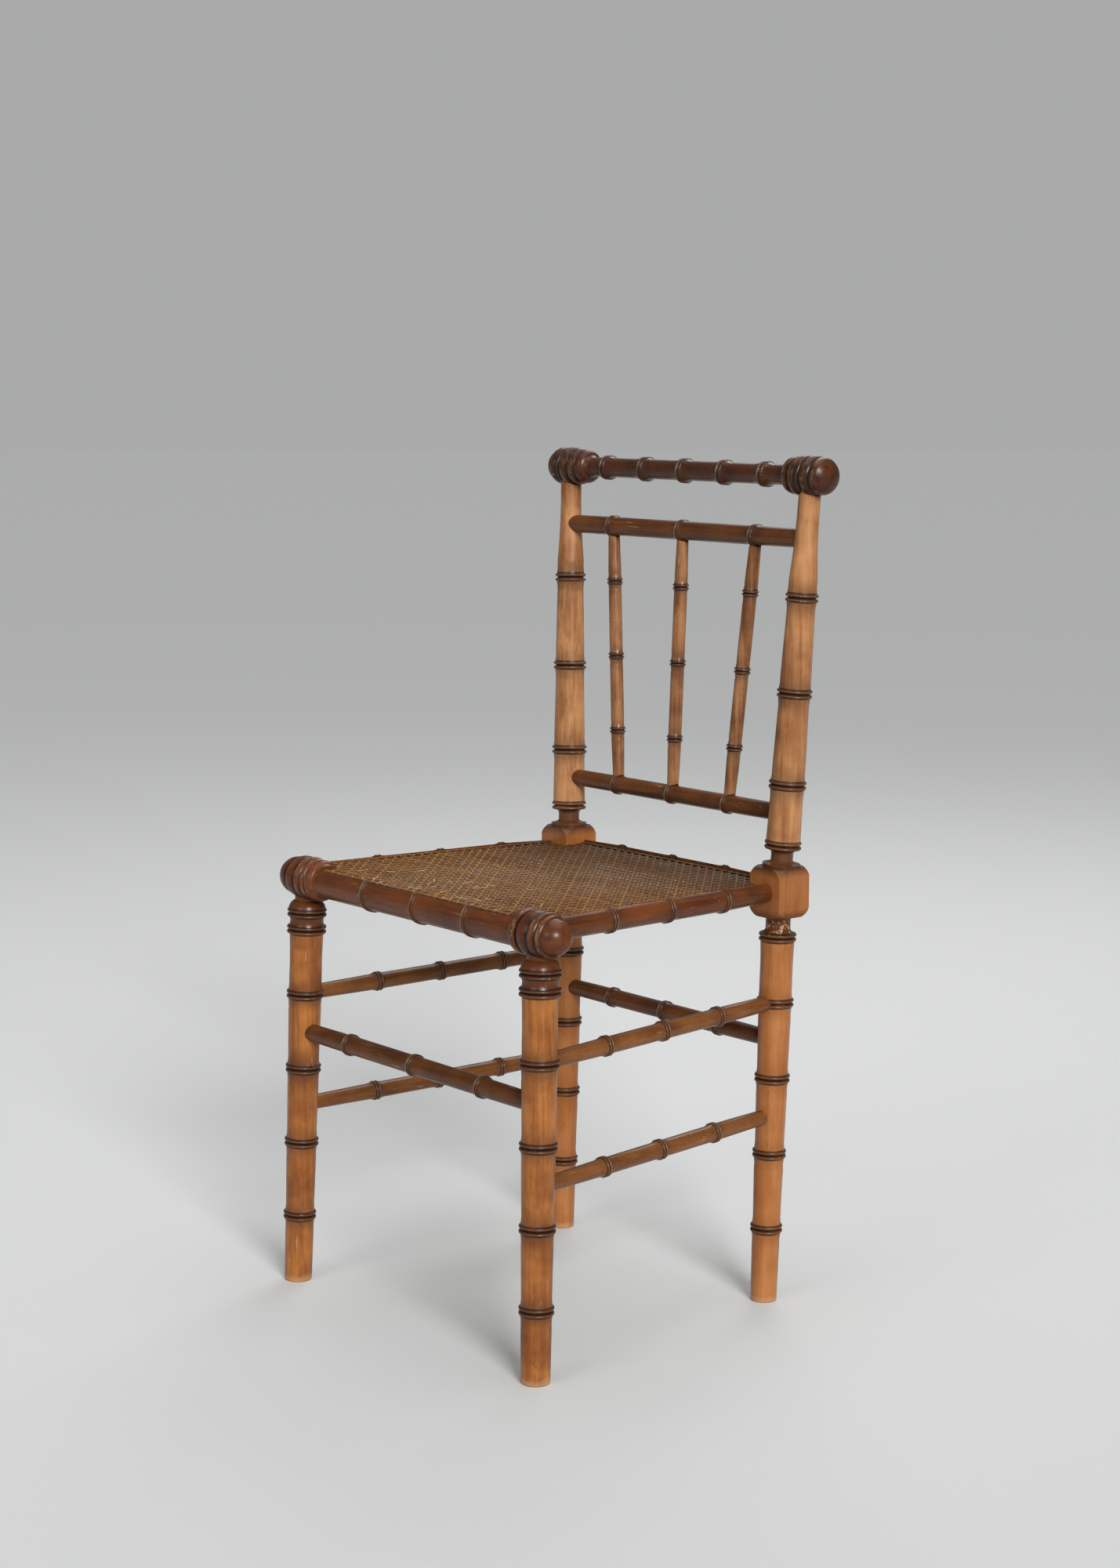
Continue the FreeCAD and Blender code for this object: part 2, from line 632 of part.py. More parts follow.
# Spindles fan out from the nodes of the lower rail to the nodes of the upper rail.
spindles = []
for place in (-1, 0, 1):
    spindle_foot = point(place * LOWER_RAIL_PITCH, lower_end.y, lower_rail_z)
    spindle_head = point(place * UPPER_RAIL_PITCH, upper_end.y, upper_rail_z)
    spindle_length = (spindle_head - spindle_foot).Length
    spindle_path = [(0, SPINDLE_END_R, 0)]
    for step in (-1, 0, 1):
        spindle_path += ring(
            SPINDLE_RING, spindle_length * (1 / 2 + step * SPINDLE_RING_SHARE), SPINDLE_R)
    spindle_path.append((spindle_length, SPINDLE_END_R, 0))
    spindle = along(turned(spindle_path), spindle_foot, spindle_head)
    for rail_end, far_end, rail_radius in (
        (spindle_foot, spindle_head, LOWER_RAIL_R), (spindle_head, spindle_foot, UPPER_RAIL_R),
    ):
        rail_room = Part.makeCylinder(
            rail_radius + NODE_RISE + GLUE_GAP, UPPER_RAIL_PITCH,
            rail_end - MIRROR_NORMAL * (UPPER_RAIL_PITCH / 2), MIRROR_NORMAL)
        spindle = main_solid(spindle.cut(rail_room))
        spindle = spindle.fuse(pin(
            rail_end, far_end, SPINDLE_TENON_R, SPINDLE_TENON_TIP, rail_radius + 2 * TENON_ROOT))
        hole = socket(
            rail_end, far_end, SPINDLE_TENON_R, SPINDLE_TENON_TIP, rail_radius + 2 * TENON_ROOT)
        if rail_end is spindle_foot:
            lower_back_rail = lower_back_rail.cut(hole)
        else:
            upper_back_rail = upper_back_rail.cut(hole)
    spindles.append(spindle)

# The bed for the cane: the inner top of each seat rail is cut down to one plane, lower at the back.
bell_end_x = FRONT_TOP_X - front_marks[-1] - BELL_LENGTH
side_run = side_rear - side_front
bed_front_y = FRONT_TOP_Y - FRONT_RIM_SET
bed_rear_y = BLOCK_Y + RIM_SET
seat_tilt = math.degrees(math.atan2(SEAT_FALL, bed_rear_y - bed_front_y))
notch_front_y = FRONT_TOP_Y + FRONT_BALL_R
notch_rear_y = BLOCK_Y - BLOCK_SIZE / 2
notch_rear_x = BLOCK_X - BLOCK_SIZE / 2


def side_rim_x(y, inset):
    """X of the bed's right-hand rim at a given depth."""
    return side_front.x + side_run.x * (y - side_front.y) / side_run.y + RIM_SET - inset


def bed_face(inset, notch, z):
    """The bed's outline, drawn in by inset and kept notch clear of the balls and blocks."""
    right = [
        (bell_end_x - notch, bed_front_y + inset),
        (bell_end_x - notch, notch_front_y + notch),
        (side_rim_x(notch_front_y + notch, inset), notch_front_y + notch),
        (side_rim_x(notch_rear_y - notch, inset), notch_rear_y - notch),
        (notch_rear_x - notch, notch_rear_y - notch),
        (notch_rear_x - notch, bed_rear_y - inset),
    ]
    left = [(-x, y) for x, y in reversed(right)]
    corners = [point(x, y, z) for x, y in right + left]
    return Part.makePolygon(corners + corners[:1])


def tilted(shape):
    """The shape turned about the bed's front edge, so that it falls towards the back."""
    shape.rotate(point(0, bed_front_y, seat_flat_z), point(1, 0, 0), -seat_tilt)
    return shape


bed_cut = tilted(Part.Face(bed_face(0, 0, seat_flat_z)).extrude(UP * FRONT_BALL_R))
front_seat_rail = main_solid(front_seat_rail.cut(bed_cut))
side_seat_rail = main_solid(side_seat_rail.cut(bed_cut))
rear_seat_rail = main_solid(rear_seat_rail.cut(bed_cut))

# Cane seat: a net with square gaps over the open middle, lying on the bed
cane_z = seat_flat_z + CANE_GAP
open_front_y = FRONT_TOP_Y + FRONT_RAIL_R + NET_BORDER
open_rear_y = BLOCK_Y - REAR_RAIL_R - NET_BORDER
row_count = int((open_rear_y - open_front_y + NET_PITCH - NET_HOLE) // NET_PITCH)
row_start = (open_front_y + open_rear_y - (row_count - 1) * NET_PITCH) / 2
net_wires = [bed_face(CANE_EDGE, CANE_NOTCH, cane_z)]
for row in range(row_count):
    y = row_start + row * NET_PITCH
    open_half = side_rim_x(y + NET_HOLE / 2, RIM_SET + SIDE_RAIL_R + NET_BORDER)
    column_half = int((open_half - NET_HOLE / 2) // NET_PITCH)
    for column in range(-column_half, column_half + 1):
        x = column * NET_PITCH
        gap = [
            point(x + side * NET_HOLE / 2, y + end * NET_HOLE / 2, cane_z)
            for side, end in ((-1, -1), (1, -1), (1, 1), (-1, 1))
        ]
        net_wires.append(Part.makePolygon(gap + gap[:1]))
cane_seat = Part.Face(net_wires[0]).extrude(UP * CANE_THICK)
net_gaps = [Part.Face(wire).extrude(UP * CANE_THICK) for wire in net_wires[1:]]
cane_seat = tilted(cane_seat.cut(net_gaps))

# Binding strips over the four edges of the cane
binder_z = cane_z + CANE_THICK + CANE_GAP


def strip(corners):
    outline = [point(x, y, binder_z) for x, y in corners]
    return tilted(Part.Face(Part.makePolygon(outline + outline[:1])).extrude(UP * BINDER_THICK))


def cross_strip(half, y):
    return strip(((-half, y), (half, y), (half, y + BINDER_WIDTH), (-half, y + BINDER_WIDTH)))


side_near_y = notch_front_y + CANE_NOTCH
side_far_y = notch_rear_y - CANE_NOTCH
binder_inset = CANE_EDGE + BINDER_WIDTH
binder_front = cross_strip(bell_end_x - CANE_NOTCH, bed_front_y + CANE_EDGE)
binder_rear = cross_strip(notch_rear_x - CANE_NOTCH, bed_rear_y - binder_inset)
binder_side = strip((
    (side_rim_x(side_near_y, CANE_EDGE), side_near_y),
    (side_rim_x(side_far_y, CANE_EDGE), side_far_y),
    (side_rim_x(side_far_y, binder_inset), side_far_y),
    (side_rim_x(side_near_y, binder_inset), side_near_y),
))

# Feet are cut level with the floor.
under_floor = Part.makeBox(2 * FRONT_FOOT_X, 2 * FRONT_FOOT_X, BLOCK_SIZE)
under_floor.translate(point(0, -FRONT_FOOT_X, -BLOCK_SIZE))
front_leg = main_solid(front_leg.cut(under_floor))
post = main_solid(post.cut(under_floor))

pieces = {
    "crest_rail": crest_rail,
    "upper_back_rail": upper_back_rail,
    "lower_back_rail": lower_back_rail,
    "back_spindle_left": spindles[0],
    "back_spindle_centre": spindles[1],
    "back_spindle_right": spindles[2],
    "back_post_left": other_side(post),
    "back_post_right": post,
    "front_leg_left": other_side(front_leg),
    "front_leg_right": front_leg,
    "front_seat_rail": front_seat_rail,
    "side_seat_rail_left": other_side(side_seat_rail),
    "side_seat_rail_right": side_seat_rail,
    "rear_seat_rail": rear_seat_rail,
    "front_stretcher": front_stretcher,
    "rear_stretcher": rear_stretcher,
    "side_stretcher_upper_left": other_side(side_stretchers[0]),
    "side_stretcher_upper_right": side_stretchers[0],
    "side_stretcher_lower_left": other_side(side_stretchers[1]),
    "side_stretcher_lower_right": side_stretchers[1],
    "cane_seat": cane_seat,
    "cane_binder_front": binder_front,
    "cane_binder_rear": binder_rear,
    "cane_binder_left": other_side(binder_side),
    "cane_binder_right": binder_side,
}

# The origin is the middle of the footprint of the whole chair.
whole = Part.makeCompound(list(pieces.values())).optimalBoundingBox(False)
to_middle = point(0, -(whole.YMin + whole.YMax) / 2, 0)
for name, piece in pieces.items():
    solid = main_solid(piece)
    solid.translate(to_middle)
    solid.exportStep("parts/" + name + ".step")
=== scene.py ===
import bmesh
import bpy
import math
import random
from functools import partialmethod
from bpy.props import FloatProperty, FloatVectorProperty, IntProperty, PointerProperty
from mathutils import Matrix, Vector


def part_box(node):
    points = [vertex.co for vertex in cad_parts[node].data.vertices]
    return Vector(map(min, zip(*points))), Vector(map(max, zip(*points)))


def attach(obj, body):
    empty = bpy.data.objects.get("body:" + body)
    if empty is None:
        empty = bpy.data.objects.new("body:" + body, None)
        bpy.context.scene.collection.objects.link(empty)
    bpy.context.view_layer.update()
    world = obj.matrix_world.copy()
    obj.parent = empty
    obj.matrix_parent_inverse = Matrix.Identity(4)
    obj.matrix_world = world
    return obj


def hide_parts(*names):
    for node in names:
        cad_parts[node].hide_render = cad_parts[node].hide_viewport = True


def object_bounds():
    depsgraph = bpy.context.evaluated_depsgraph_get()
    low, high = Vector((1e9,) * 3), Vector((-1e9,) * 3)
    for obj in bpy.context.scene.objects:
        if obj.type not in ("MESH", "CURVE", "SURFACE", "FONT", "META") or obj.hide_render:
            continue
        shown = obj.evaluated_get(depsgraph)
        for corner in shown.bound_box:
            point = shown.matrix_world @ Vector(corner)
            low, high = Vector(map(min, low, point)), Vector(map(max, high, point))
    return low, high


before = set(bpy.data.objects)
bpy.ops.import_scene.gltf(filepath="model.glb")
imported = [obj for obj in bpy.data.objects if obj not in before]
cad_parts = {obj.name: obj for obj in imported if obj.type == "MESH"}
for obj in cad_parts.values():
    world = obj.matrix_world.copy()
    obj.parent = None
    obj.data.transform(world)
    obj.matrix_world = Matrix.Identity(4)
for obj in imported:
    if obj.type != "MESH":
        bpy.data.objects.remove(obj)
CAD_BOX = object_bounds()
BODY = "root"
SEAT_LOW, SEAT_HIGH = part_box("cane_seat")
FRONT_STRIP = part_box("cane_binder_front")
REAR_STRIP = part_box("cane_binder_rear")

bl_info = {
    "name": "Faux Bamboo Side Chair",
    "version": (1, 0, 0),
    "blender": (4, 5, 0),
    "location": "View3D > Sidebar > Chair",
    "description": "Dresses a turned faux bamboo chair: lacquered wood, a woven cane seat and a studio stage",
    "category": "Object",
}

FRONT_LEGS = ("front_leg_left", "front_leg_right")
BACK_POSTS = ("back_post_left", "back_post_right")
SPINDLES = ("back_spindle_left", "back_spindle_centre", "back_spindle_right")
SIDE_STRETCHERS = (
    "side_stretcher_upper_left", "side_stretcher_upper_right",
    "side_stretcher_lower_left", "side_stretcher_lower_right",
)
SIDE_RAILS = ("side_seat_rail_left", "side_seat_rail_right")
BINDERS = ("cane_binder_front", "cane_binder_rear", "cane_binder_left", "cane_binder_right")


def kind(prop, **options):
    """A maker of one kind of property, from a name, a description and a default."""
    def make(name, description, default):
        return prop(name=name, description=description, default=default, **options)
    return make


length = kind(FloatProperty, unit="LENGTH", precision=5)
lens_length = kind(FloatProperty, unit="CAMERA", precision=2)
share = kind(FloatProperty, min=0.0, max=1.0, subtype="FACTOR")
amount = kind(FloatProperty)
power = kind(FloatProperty, unit="POWER")
angle = kind(FloatProperty, subtype="ANGLE")
number = kind(IntProperty, min=0)
place = kind(FloatVectorProperty, size=3, subtype="TRANSLATION", unit="LENGTH")
colour = kind(FloatVectorProperty, size=3, subtype="COLOR", min=0.0, max=1.0)


def ring_step(name, sticks, default):
    return length(name, "Distance between the rings of " + sticks, default)


def palest(name, wood, default):
    return colour(name, "Palest streaks of " + wood, default)


def darker(name, wood, default):
    return colour(name, "Darker streaks of " + wood, default)


class ChairAxes(bpy.types.PropertyGroup):
    """Axes and ring places of the turned sticks, for the right-hand half of the chair."""

    front_foot: place("Front foot", "Axis of a front leg at the floor", (0.2015, -0.188, 0.0))
    front_top: place("Front top", "Axis of a front leg at the front rail", (0.1935, -0.174, 0.4365))
    rear_foot: place("Rear foot", "Axis of a back post at the floor", (0.1655, 0.1495, 0.0))
    block: place("Block", "Middle of the square block of a back post", (0.169, 0.1625, 0.4345))
    crest: place("Crest", "Axis of a back post at the crest rail", (0.188, 0.1818, 0.8585))
    ring_pitch: ring_step("Ring pitch", "the legs", 0.0802)
    front_ring: length("Front ring", "Height of the top ring of a front leg", 0.3125)
    rear_ring: length("Rear ring", "Height of the top ring of a back post below the seat", 0.3185)
    front_collar: length("Front collar", "Height of the lower collar of a front leg", 0.382)
    front_cap: length("Front cap", "Height of the upper collar of a front leg", 0.400)
    rear_collar: length("Rear collar", "Height of the collar under the block", 0.387)
    post_ring_low: length("Lowest post ring", "Height of the ring above the block", 0.4825)
    post_ring_second: length("Second post ring", "Height of the second ring of the back", 0.545)
    post_ring_third: length("Third post ring", "Height of the third ring of the back", 0.639)
    post_ring_top: length("Top post ring", "Height of the top ring of the back", 0.7365)
    spindle_middle: length("Spindle middle", "Height of the middle ring of a spindle", 0.65525)
    spindle_pitch: ring_step("Spindle pitch", "a spindle", 0.0808)
    crest_pitch: ring_step("Crest pitch", "the crest rail", 0.0618)
    upper_pitch: ring_step("Upper rail pitch", "the upper back rail", 0.112)
    lower_pitch: ring_step("Lower rail pitch", "the lower back rail", 0.088)
    front_rail_pitch: ring_step("Front rail pitch", "the front rail", 0.084)
    front_rail_shift: length("Front rail shift", "Middle ring of the front rail, off the middle", 0.0105)
    rear_rail_pitch: ring_step("Rear rail pitch", "the rear rail", 0.0825)
    front_stretcher_pitch: ring_step("Front stretcher pitch", "the front stretcher", 0.111)
    rear_stretcher_pitch: ring_step("Rear stretcher pitch", "the rear stretcher", 0.086)
    side_pitch: ring_step("Side pitch", "side rails and stretchers", 0.080)
    crest_ball: length("Crest ball", "Radius of the beehive ends of the crest rail", 0.0214)
    front_ball: length("Front ball", "Radius of the beehive ends of the front rail", 0.0232)
    hive_length: length("Beehive length", "Half length of the oval that the ribs follow", 0.046)
    hive_centre: length("Beehive centre", "Middle of that oval, outwards from the leg's axis", -0.002)
    leg_band: length("Leg band", "Half width of the dark band on a leg ring", 0.0046)
    rail_band: length("Rail band", "Half width of the dark band on a rail ring", 0.0034)


class LacquerColours(bpy.types.PropertyGroup):
    """Colours of the stained and lacquered wood."""

    honey_light: palest("Light honey", "the front legs", (0.378, 0.140, 0.031))
    honey_deep: darker("Deep honey", "the front legs and the block", (0.172, 0.049, 0.009))
    pale_light: palest("Pale honey", "the back posts", (0.440, 0.212, 0.088))
    pale_deep: darker("Deep pale honey", "the back posts", (0.205, 0.074, 0.021))
    lower_honey: colour("Lower honey", "Stain of the block and the back legs", (0.330, 0.095, 0.012))
    spindle_light: palest("Light spindle brown", "the spindles", (0.315, 0.146, 0.060))
    orange_light: palest("Light orange brown", "the side stretchers", (0.190, 0.072, 0.019))
    orange_deep: darker("Deep orange brown", "side stretchers and spindles", (0.095, 0.028, 0.006))
    brown_light: palest("Light brown", "the plain cross rails", (0.120, 0.039, 0.008))
    brown_deep: darker("Deep brown", "the plain cross rails", (0.046, 0.013, 0.003))
    red_light: palest("Light red brown", "the front and side seat rails", (0.130, 0.036, 0.008))
    red_deep: darker("Deep red brown", "the front and side seat rails", (0.050, 0.012, 0.003))
    crest_light: palest("Light crest brown", "the crest rail", (0.074, 0.021, 0.005))
    crest_deep: darker("Deep crest brown", "the crest rail", (0.023, 0.006, 0.002))
    ring: colour("Ring", "Dark stain of the rings", (0.042, 0.013, 0.005))
    # Also painted as shade in the beehive grooves
    scorch: colour("Scorch", "The near black of the grooves", (0.012, 0.006, 0.004))
    # Also painted as a highlight on the crown of each ring
    bare_wood: colour("Bare wood", "Wood where the lacquer is worn off", (0.48, 0.30, 0.15))
    roughness: share("Roughness", "Roughness of the lacquer", 0.37)
    coat: share("Coat", "Weight of the clear coat", 0.16)
    coat_roughness: share("Coat roughness", "Roughness of the clear coat", 0.16)
    sheen: share("Sheen", "How strongly the lacquer mirrors", 0.20)
    relief: share("Relief", "Strength of the grain's relief", 0.16)
    relief_depth: length("Relief depth", "Depth of the grain's relief", 0.0006)


class CaneSizes(bpy.types.PropertyGroup):
    """Sizes and colours of the woven seat."""

    pitch: length("Pitch", "Distance between the pairs of strands", 0.0118)
    strand_width: length("Strand width", "Width of the straight strands", 0.0023)
    pair_gap: length("Pair gap", "Distance between the two strands of a pair", 0.0026)
    slant_width: length("Slant width", "Width of the slanting strands", 0.0028)
    strand_thickness: length("Thickness", "Thickness of a strand", 0.0009)
    weave_depth: length("Weave depth", "Middle of the weave below the binding strips", 0.0007)
    sag: length("Sag", "How far the middle of the seat hangs", 0.0022)
    binder_width: length("Binder width", "Width of the binding strip", 0.0042)
    binder_thickness: length("Binder thickness", "Thickness of the binding strip", 0.0013)
    loop_width: length("Loop width", "Width of the loops that hold the binding strip", 0.0018)
    fray_count: number("Frays", "Broken strand ends that stand up", 44)
    fray_length: length("Fray length", "Length of the longest broken end", 0.012)
    straw: colour("Straw", "Palest strands", (0.240, 0.108, 0.024))
    tan: colour("Tan", "Middle tone of the strands", (0.130, 0.047, 0.009))
    # Also painted as shade on the strands low in the weave
    rust: colour("Rust", "Dark tone at the back and low in the weave", (0.036, 0.014, 0.006))
    fray: colour("Fray", "Pale inside of broken strands", (0.52, 0.37, 0.20))
    dust: colour("Dust", "Grey worn middle of the seat", (0.22, 0.155, 0.098))
    roughness: share("Roughness", "Roughness of the cane", 0.5)
    sheen: share("Sheen", "How strongly the cane mirrors", 0.22)
    relief: share("Relief", "Strength of the strands' relief", 0.25)
    relief_depth: length("Relief depth", "Depth of the strands' relief", 0.0003)


class StageSizes(bpy.types.PropertyGroup):
    """Floor, lamps and camera."""

    floor_size: length("Floor size", "Width of the round floor", 60.0)
    floor_colour: colour("Floor", "Pale floor", (0.62, 0.63, 0.625))
    floor_roughness: share("Floor roughness", "How matt the floor is", 0.8)
    floor_sheen: share("Floor sheen", "How much the floor mirrors", 0.0)
    air_colour: colour("Air", "Pale tone seen beyond the floor", (0.40, 0.405, 0.403))
    sky: share("Sky", "Strength of the even light from all round", 0.20)
    key_place: place("Key place", "Where the main light comes from", (5.6, -2.2, 3.2))
    key_strength: amount("Key strength", "Strength of the main light", 3.45)
    key_spread: angle("Key spread", "Softness of the main light", math.radians(22.0))
    fill_place: place("Fill place", "Place of the front lamp", (0.7, -5.8, 3.0))
    fill_side: length("Fill side", "Side of the front lamp", 2.8)
    fill_power: power("Fill power", "Power of the front lamp", 76.0)
    back_place: place("Back place", "Place of the lamp behind", (-1.3, 1.9, 2.6))
    back_side: length("Back side", "Side of the lamp behind", 1.4)
    back_power: power("Back power", "Power of the lamp behind", 24.0)
    top_place: place("Top place", "Place of the overhead lamp", (0.2, 0.2, 2.9))
    top_side: length("Top side", "Side of the overhead lamp", 2.2)
    top_power: power("Top power", "Power of the overhead lamp", 26.0)
    camera_place: place("Camera", "Place of the camera", (2.19194, -1.80674, 0.96483))
    camera_azimuth: angle("Azimuth", "Turn of the camera about the chair", math.radians(50.35))
    camera_elevation: angle("Elevation", "Tilt of the camera above the horizon", math.radians(8.48))
    camera_lens: lens_length("Lens", "Focal length", 63.93)


def axes():
    return bpy.context.scene.chair_axes


def lacquer():
    return bpy.context.scene.chair_lacquer


def cane():
    return bpy.context.scene.chair_cane


def stage():
    return bpy.context.scene.chair_stage


# Node helpers

# Places of the factor, the colours and the result among a mix node's sockets
MIX_INPUTS = (0, 6, 7)
MIX_RESULT = 2


class Value:
    """An output in a node tree, to reckon with."""

    def __init__(self, tree, socket):
        self.tree = tree
        self.socket = socket

    def math(self, operation, other=0.0, clamp=False):
        settings = {"operation": operation, "use_clamp": clamp}
        return put(self.tree, "ShaderNodeMath", settings, self, other)["Value"]

    __add__ = partialmethod(math, "ADD")
    __sub__ = partialmethod(math, "SUBTRACT")
    __mul__ = partialmethod(math, "MULTIPLY")
    __truediv__ = partialmethod(math, "DIVIDE")
    __abs__ = partialmethod(math, "ABSOLUTE")

    def vector(self, operation, *others):
        return put(self.tree, "ShaderNodeVectorMath", {"operation": operation}, self, *others)

    def parts(self):
        return put(self.tree, "ShaderNodeSeparateXYZ", None, self)

    def half_chair(self):
        """X, Y and Z of a vector, with the left side of the chair folded onto the right."""
        here = self.parts()
        return self.vector("ABSOLUTE")["Vector"].parts()["X"], here["Y"], here["Z"]

    def blend(self, other, part):
        """A part of this value and the rest of the other."""
        return self * part + other * (1 - part)

    def ramp(self, low, high):
        """0 below low, 1 above high, smooth between; the other way round where low is the larger."""
        settings = {"interpolation_type": "SMOOTHSTEP"}
        return put(self.tree, "ShaderNodeMapRange", settings, self, low, high)["Result"]

    def fade(self, origin, none, full):
        """Rises from 0 to 1 between two distances from an origin."""
        return self.ramp(origin + none, origin + full)

    def noise(self, scale, detail=3.0, roughness=0.6):
        return put(
            self.tree, "ShaderNodeTexNoise", Vector=self, Scale=scale, Detail=detail,
            Roughness=roughness)["Fac"]

    def spots(self, low, high, **grain):
        """Spots where a noise rises from low to high."""
        return self.noise(**grain).ramp(low, high)

    def mix(self, first, second):
        """From the first colour to the second as this value rises."""
        node = self.tree.nodes.new("ShaderNodeMix")
        node.data_type = "RGBA"
        node.clamp_factor = True
        for index, value in zip(MIX_INPUTS, (self, first, second)):
            feed(self.tree, node.inputs[index], value)
        return Value(self.tree, node.outputs[MIX_RESULT])

    def stain(self, mask, tint, strength):
        """This colour with a patch of another tint under a mask."""
        return (mask * strength).mix(self, tint)


def put(tree, node_type, settings=None, *values, **inputs):
    """Adds a node, sets its options, feeds its inputs in their order or by name and returns its outputs."""
    node = tree.nodes.new(node_type)
    for name, value in (settings or {}).items():
        setattr(node, name, value)
    for socket, value in zip(node.inputs, values):
        feed(tree, socket, value)
    feed_all(tree, node.inputs, **inputs)
    return {socket.name: Value(tree, socket) for socket in node.outputs}


def feed(tree, socket, value):
    if isinstance(value, Value):
        tree.links.new(value.socket, socket)
    elif hasattr(value, "__len__") and len(value) == 3 and len(socket.default_value) == 4:
        socket.default_value = (*value, 1.0)
    else:
        socket.default_value = value


def feed_all(tree, sockets, **values):
    for name, value in values.items():
        feed(tree, sockets[name.replace("_", " ")], value)


def new_material(name):
    """A material, its node tree and its shader's inputs."""
    material = bpy.data.materials.new(name)
    material.use_nodes = True
    tree = material.node_tree
    return material, tree, tree.nodes["Principled BSDF"].inputs


FLOAT = "NodeSocketFloat"
VECTOR = "NodeSocketVector"
COLOR = "NodeSocketColor"


def new_group(name, inputs, outputs):
    """A shader group with named sockets, the values given to it and its output sockets."""
    tree = bpy.data.node_groups.new(name, "ShaderNodeTree")
    for side, sockets in (("INPUT", inputs), ("OUTPUT", outputs)):
        for socket_type, labels in sockets.items():
            for label in labels:
                tree.interface.new_socket(name=label, in_out=side, socket_type=socket_type)
    return tree, put(tree, "NodeGroupInput"), tree.nodes.new("NodeGroupOutput").inputs


def shared(tree, name, maker, **inputs):
    """The outputs of a shader group, which its maker builds on first use."""
    group = bpy.data.node_groups.get(name) or maker()
    return put(tree, "ShaderNodeGroup", {"node_tree": group}, **inputs)


# Parts of a ring, as shares of its half width
BAND_OUTER = 1.25
BAND_INNER = 0.75
MIDDLE_GROOVE = 0.26
EDGE_GROOVE = 0.22
# The crown of each ring's ridges, which takes pale wear and a painted highlight
CROWN_PLACE = 0.5
CROWN_WIDTH = 0.24


def grain_group():
    """Long streaks of stained wood: a colour between two tones and a height for fine relief."""
    tree, given, out = new_group(
        "Stained Grain", {VECTOR: ("Vector", "Stretch"), COLOR: ("Light", "Deep")},
        {COLOR: ("Color",), FLOAT: ("Height", "Cloud")})
    along = given["Vector"].vector("MULTIPLY", given["Stretch"])["Vector"]
    fine = along.noise(scale=5.0, detail=4.0, roughness=0.65)
    broad = along.noise(scale=1.6, detail=2.0, roughness=0.5)
    cloud = given["Vector"].noise(scale=22.0, roughness=0.55)
    tone = fine.blend(broad, part=0.5).blend(cloud, part=0.62).ramp(low=0.35, high=0.65)
    feed_all(tree, out, Color=tone.mix(given["Light"], given["Deep"]), Height=fine, Cloud=cloud)
    return tree


def band_group():
    """Rings at even steps along a line: masks of their bands and grooves, of the ridge crown where pale wear
    and a painted highlight go, and the distance to one.
    """
    tree, given, out = new_group(
        "Ring Bands", {FLOAT: ("Position", "Middle", "Pitch", "Before", "After", "Half Width")},
        {FLOAT: ("Mask", "Groove", "Crown", "Distance")})
    half = given["Half Width"]
    offset = given["Position"] - given["Middle"]
    step = (offset / given["Pitch"]).math("ROUND")
    step = step.math("MAXIMUM", given["Before"] * -1.0).math("MINIMUM", given["After"])
    distance = abs(offset - step * given["Pitch"])
    band = distance.ramp(half * BAND_OUTER, half * BAND_INNER)
    middle = distance.ramp(half * MIDDLE_GROOVE, 0.0)
    edge = abs(distance - half).ramp(half * EDGE_GROOVE, 0.0)
    # Mask of the ridge crown, for pale wear and a painted highlight
    crown = abs(distance - half * CROWN_PLACE).ramp(half * CROWN_WIDTH, 0.0)
    feed_all(tree, out, Mask=band, Groove=middle.math("MAXIMUM", edge), Crown=crown, Distance=distance)
    return tree


def line_group():
    """Distance along a stick's axis, measured from a point on it, the same on both sides of the chair."""
    tree, given, out = new_group(
        "Along Stick", {VECTOR: ("Vector", "Start", "Axis")}, {FLOAT: ("Distance",)})
    half = put(tree, "ShaderNodeCombineXYZ", None, *given["Vector"].half_chair())["Vector"]
    away = half.vector("SUBTRACT", given["Start"])["Vector"]
    feed_all(tree, out, Distance=away.vector("DOT_PRODUCT", given["Axis"])["Value"])
    return tree


def groove_group():
    """Masks of a beehive's grooves, for painted shade, and of its scuffed ribs, by the depth under the oval
    that the ribs follow.
    """
    tree, given, out = new_group(
        "Beehive Grooves", {VECTOR: ("Vector", "Centre"), FLOAT: ("Ball", "Length")},
        {FLOAT: ("Mask", "Crown")})
    x, y, z = given["Vector"].half_chair()
    centre = given["Centre"].parts()
    depth = y - centre["Y"]
    rise = z - centre["Z"]
    radius = (depth * depth + rise * rise).math("SQRT")
    part = (x - centre["X"]) / given["Length"]
    oval = (part * part * -1.0 + 1.0).math("MAXIMUM", 0.0)
    below = given["Ball"] * oval.math("SQRT") - radius
    inside = abs(part).ramp(low=0.56, high=0.46)
    # Painted shade: the deeper a groove lies under the oval, the darker it is painted
    groove_shade = below.ramp(low=0.0006, high=0.0026) * inside
    rib = below.ramp(low=0.0007, high=0.0) * inside
    scuffs = given["Vector"].spots(scale=130.0, roughness=0.65, low=0.44, high=0.62)
    feed_all(tree, out, Mask=groove_shade, Crown=rib * scuffs)
    return tree


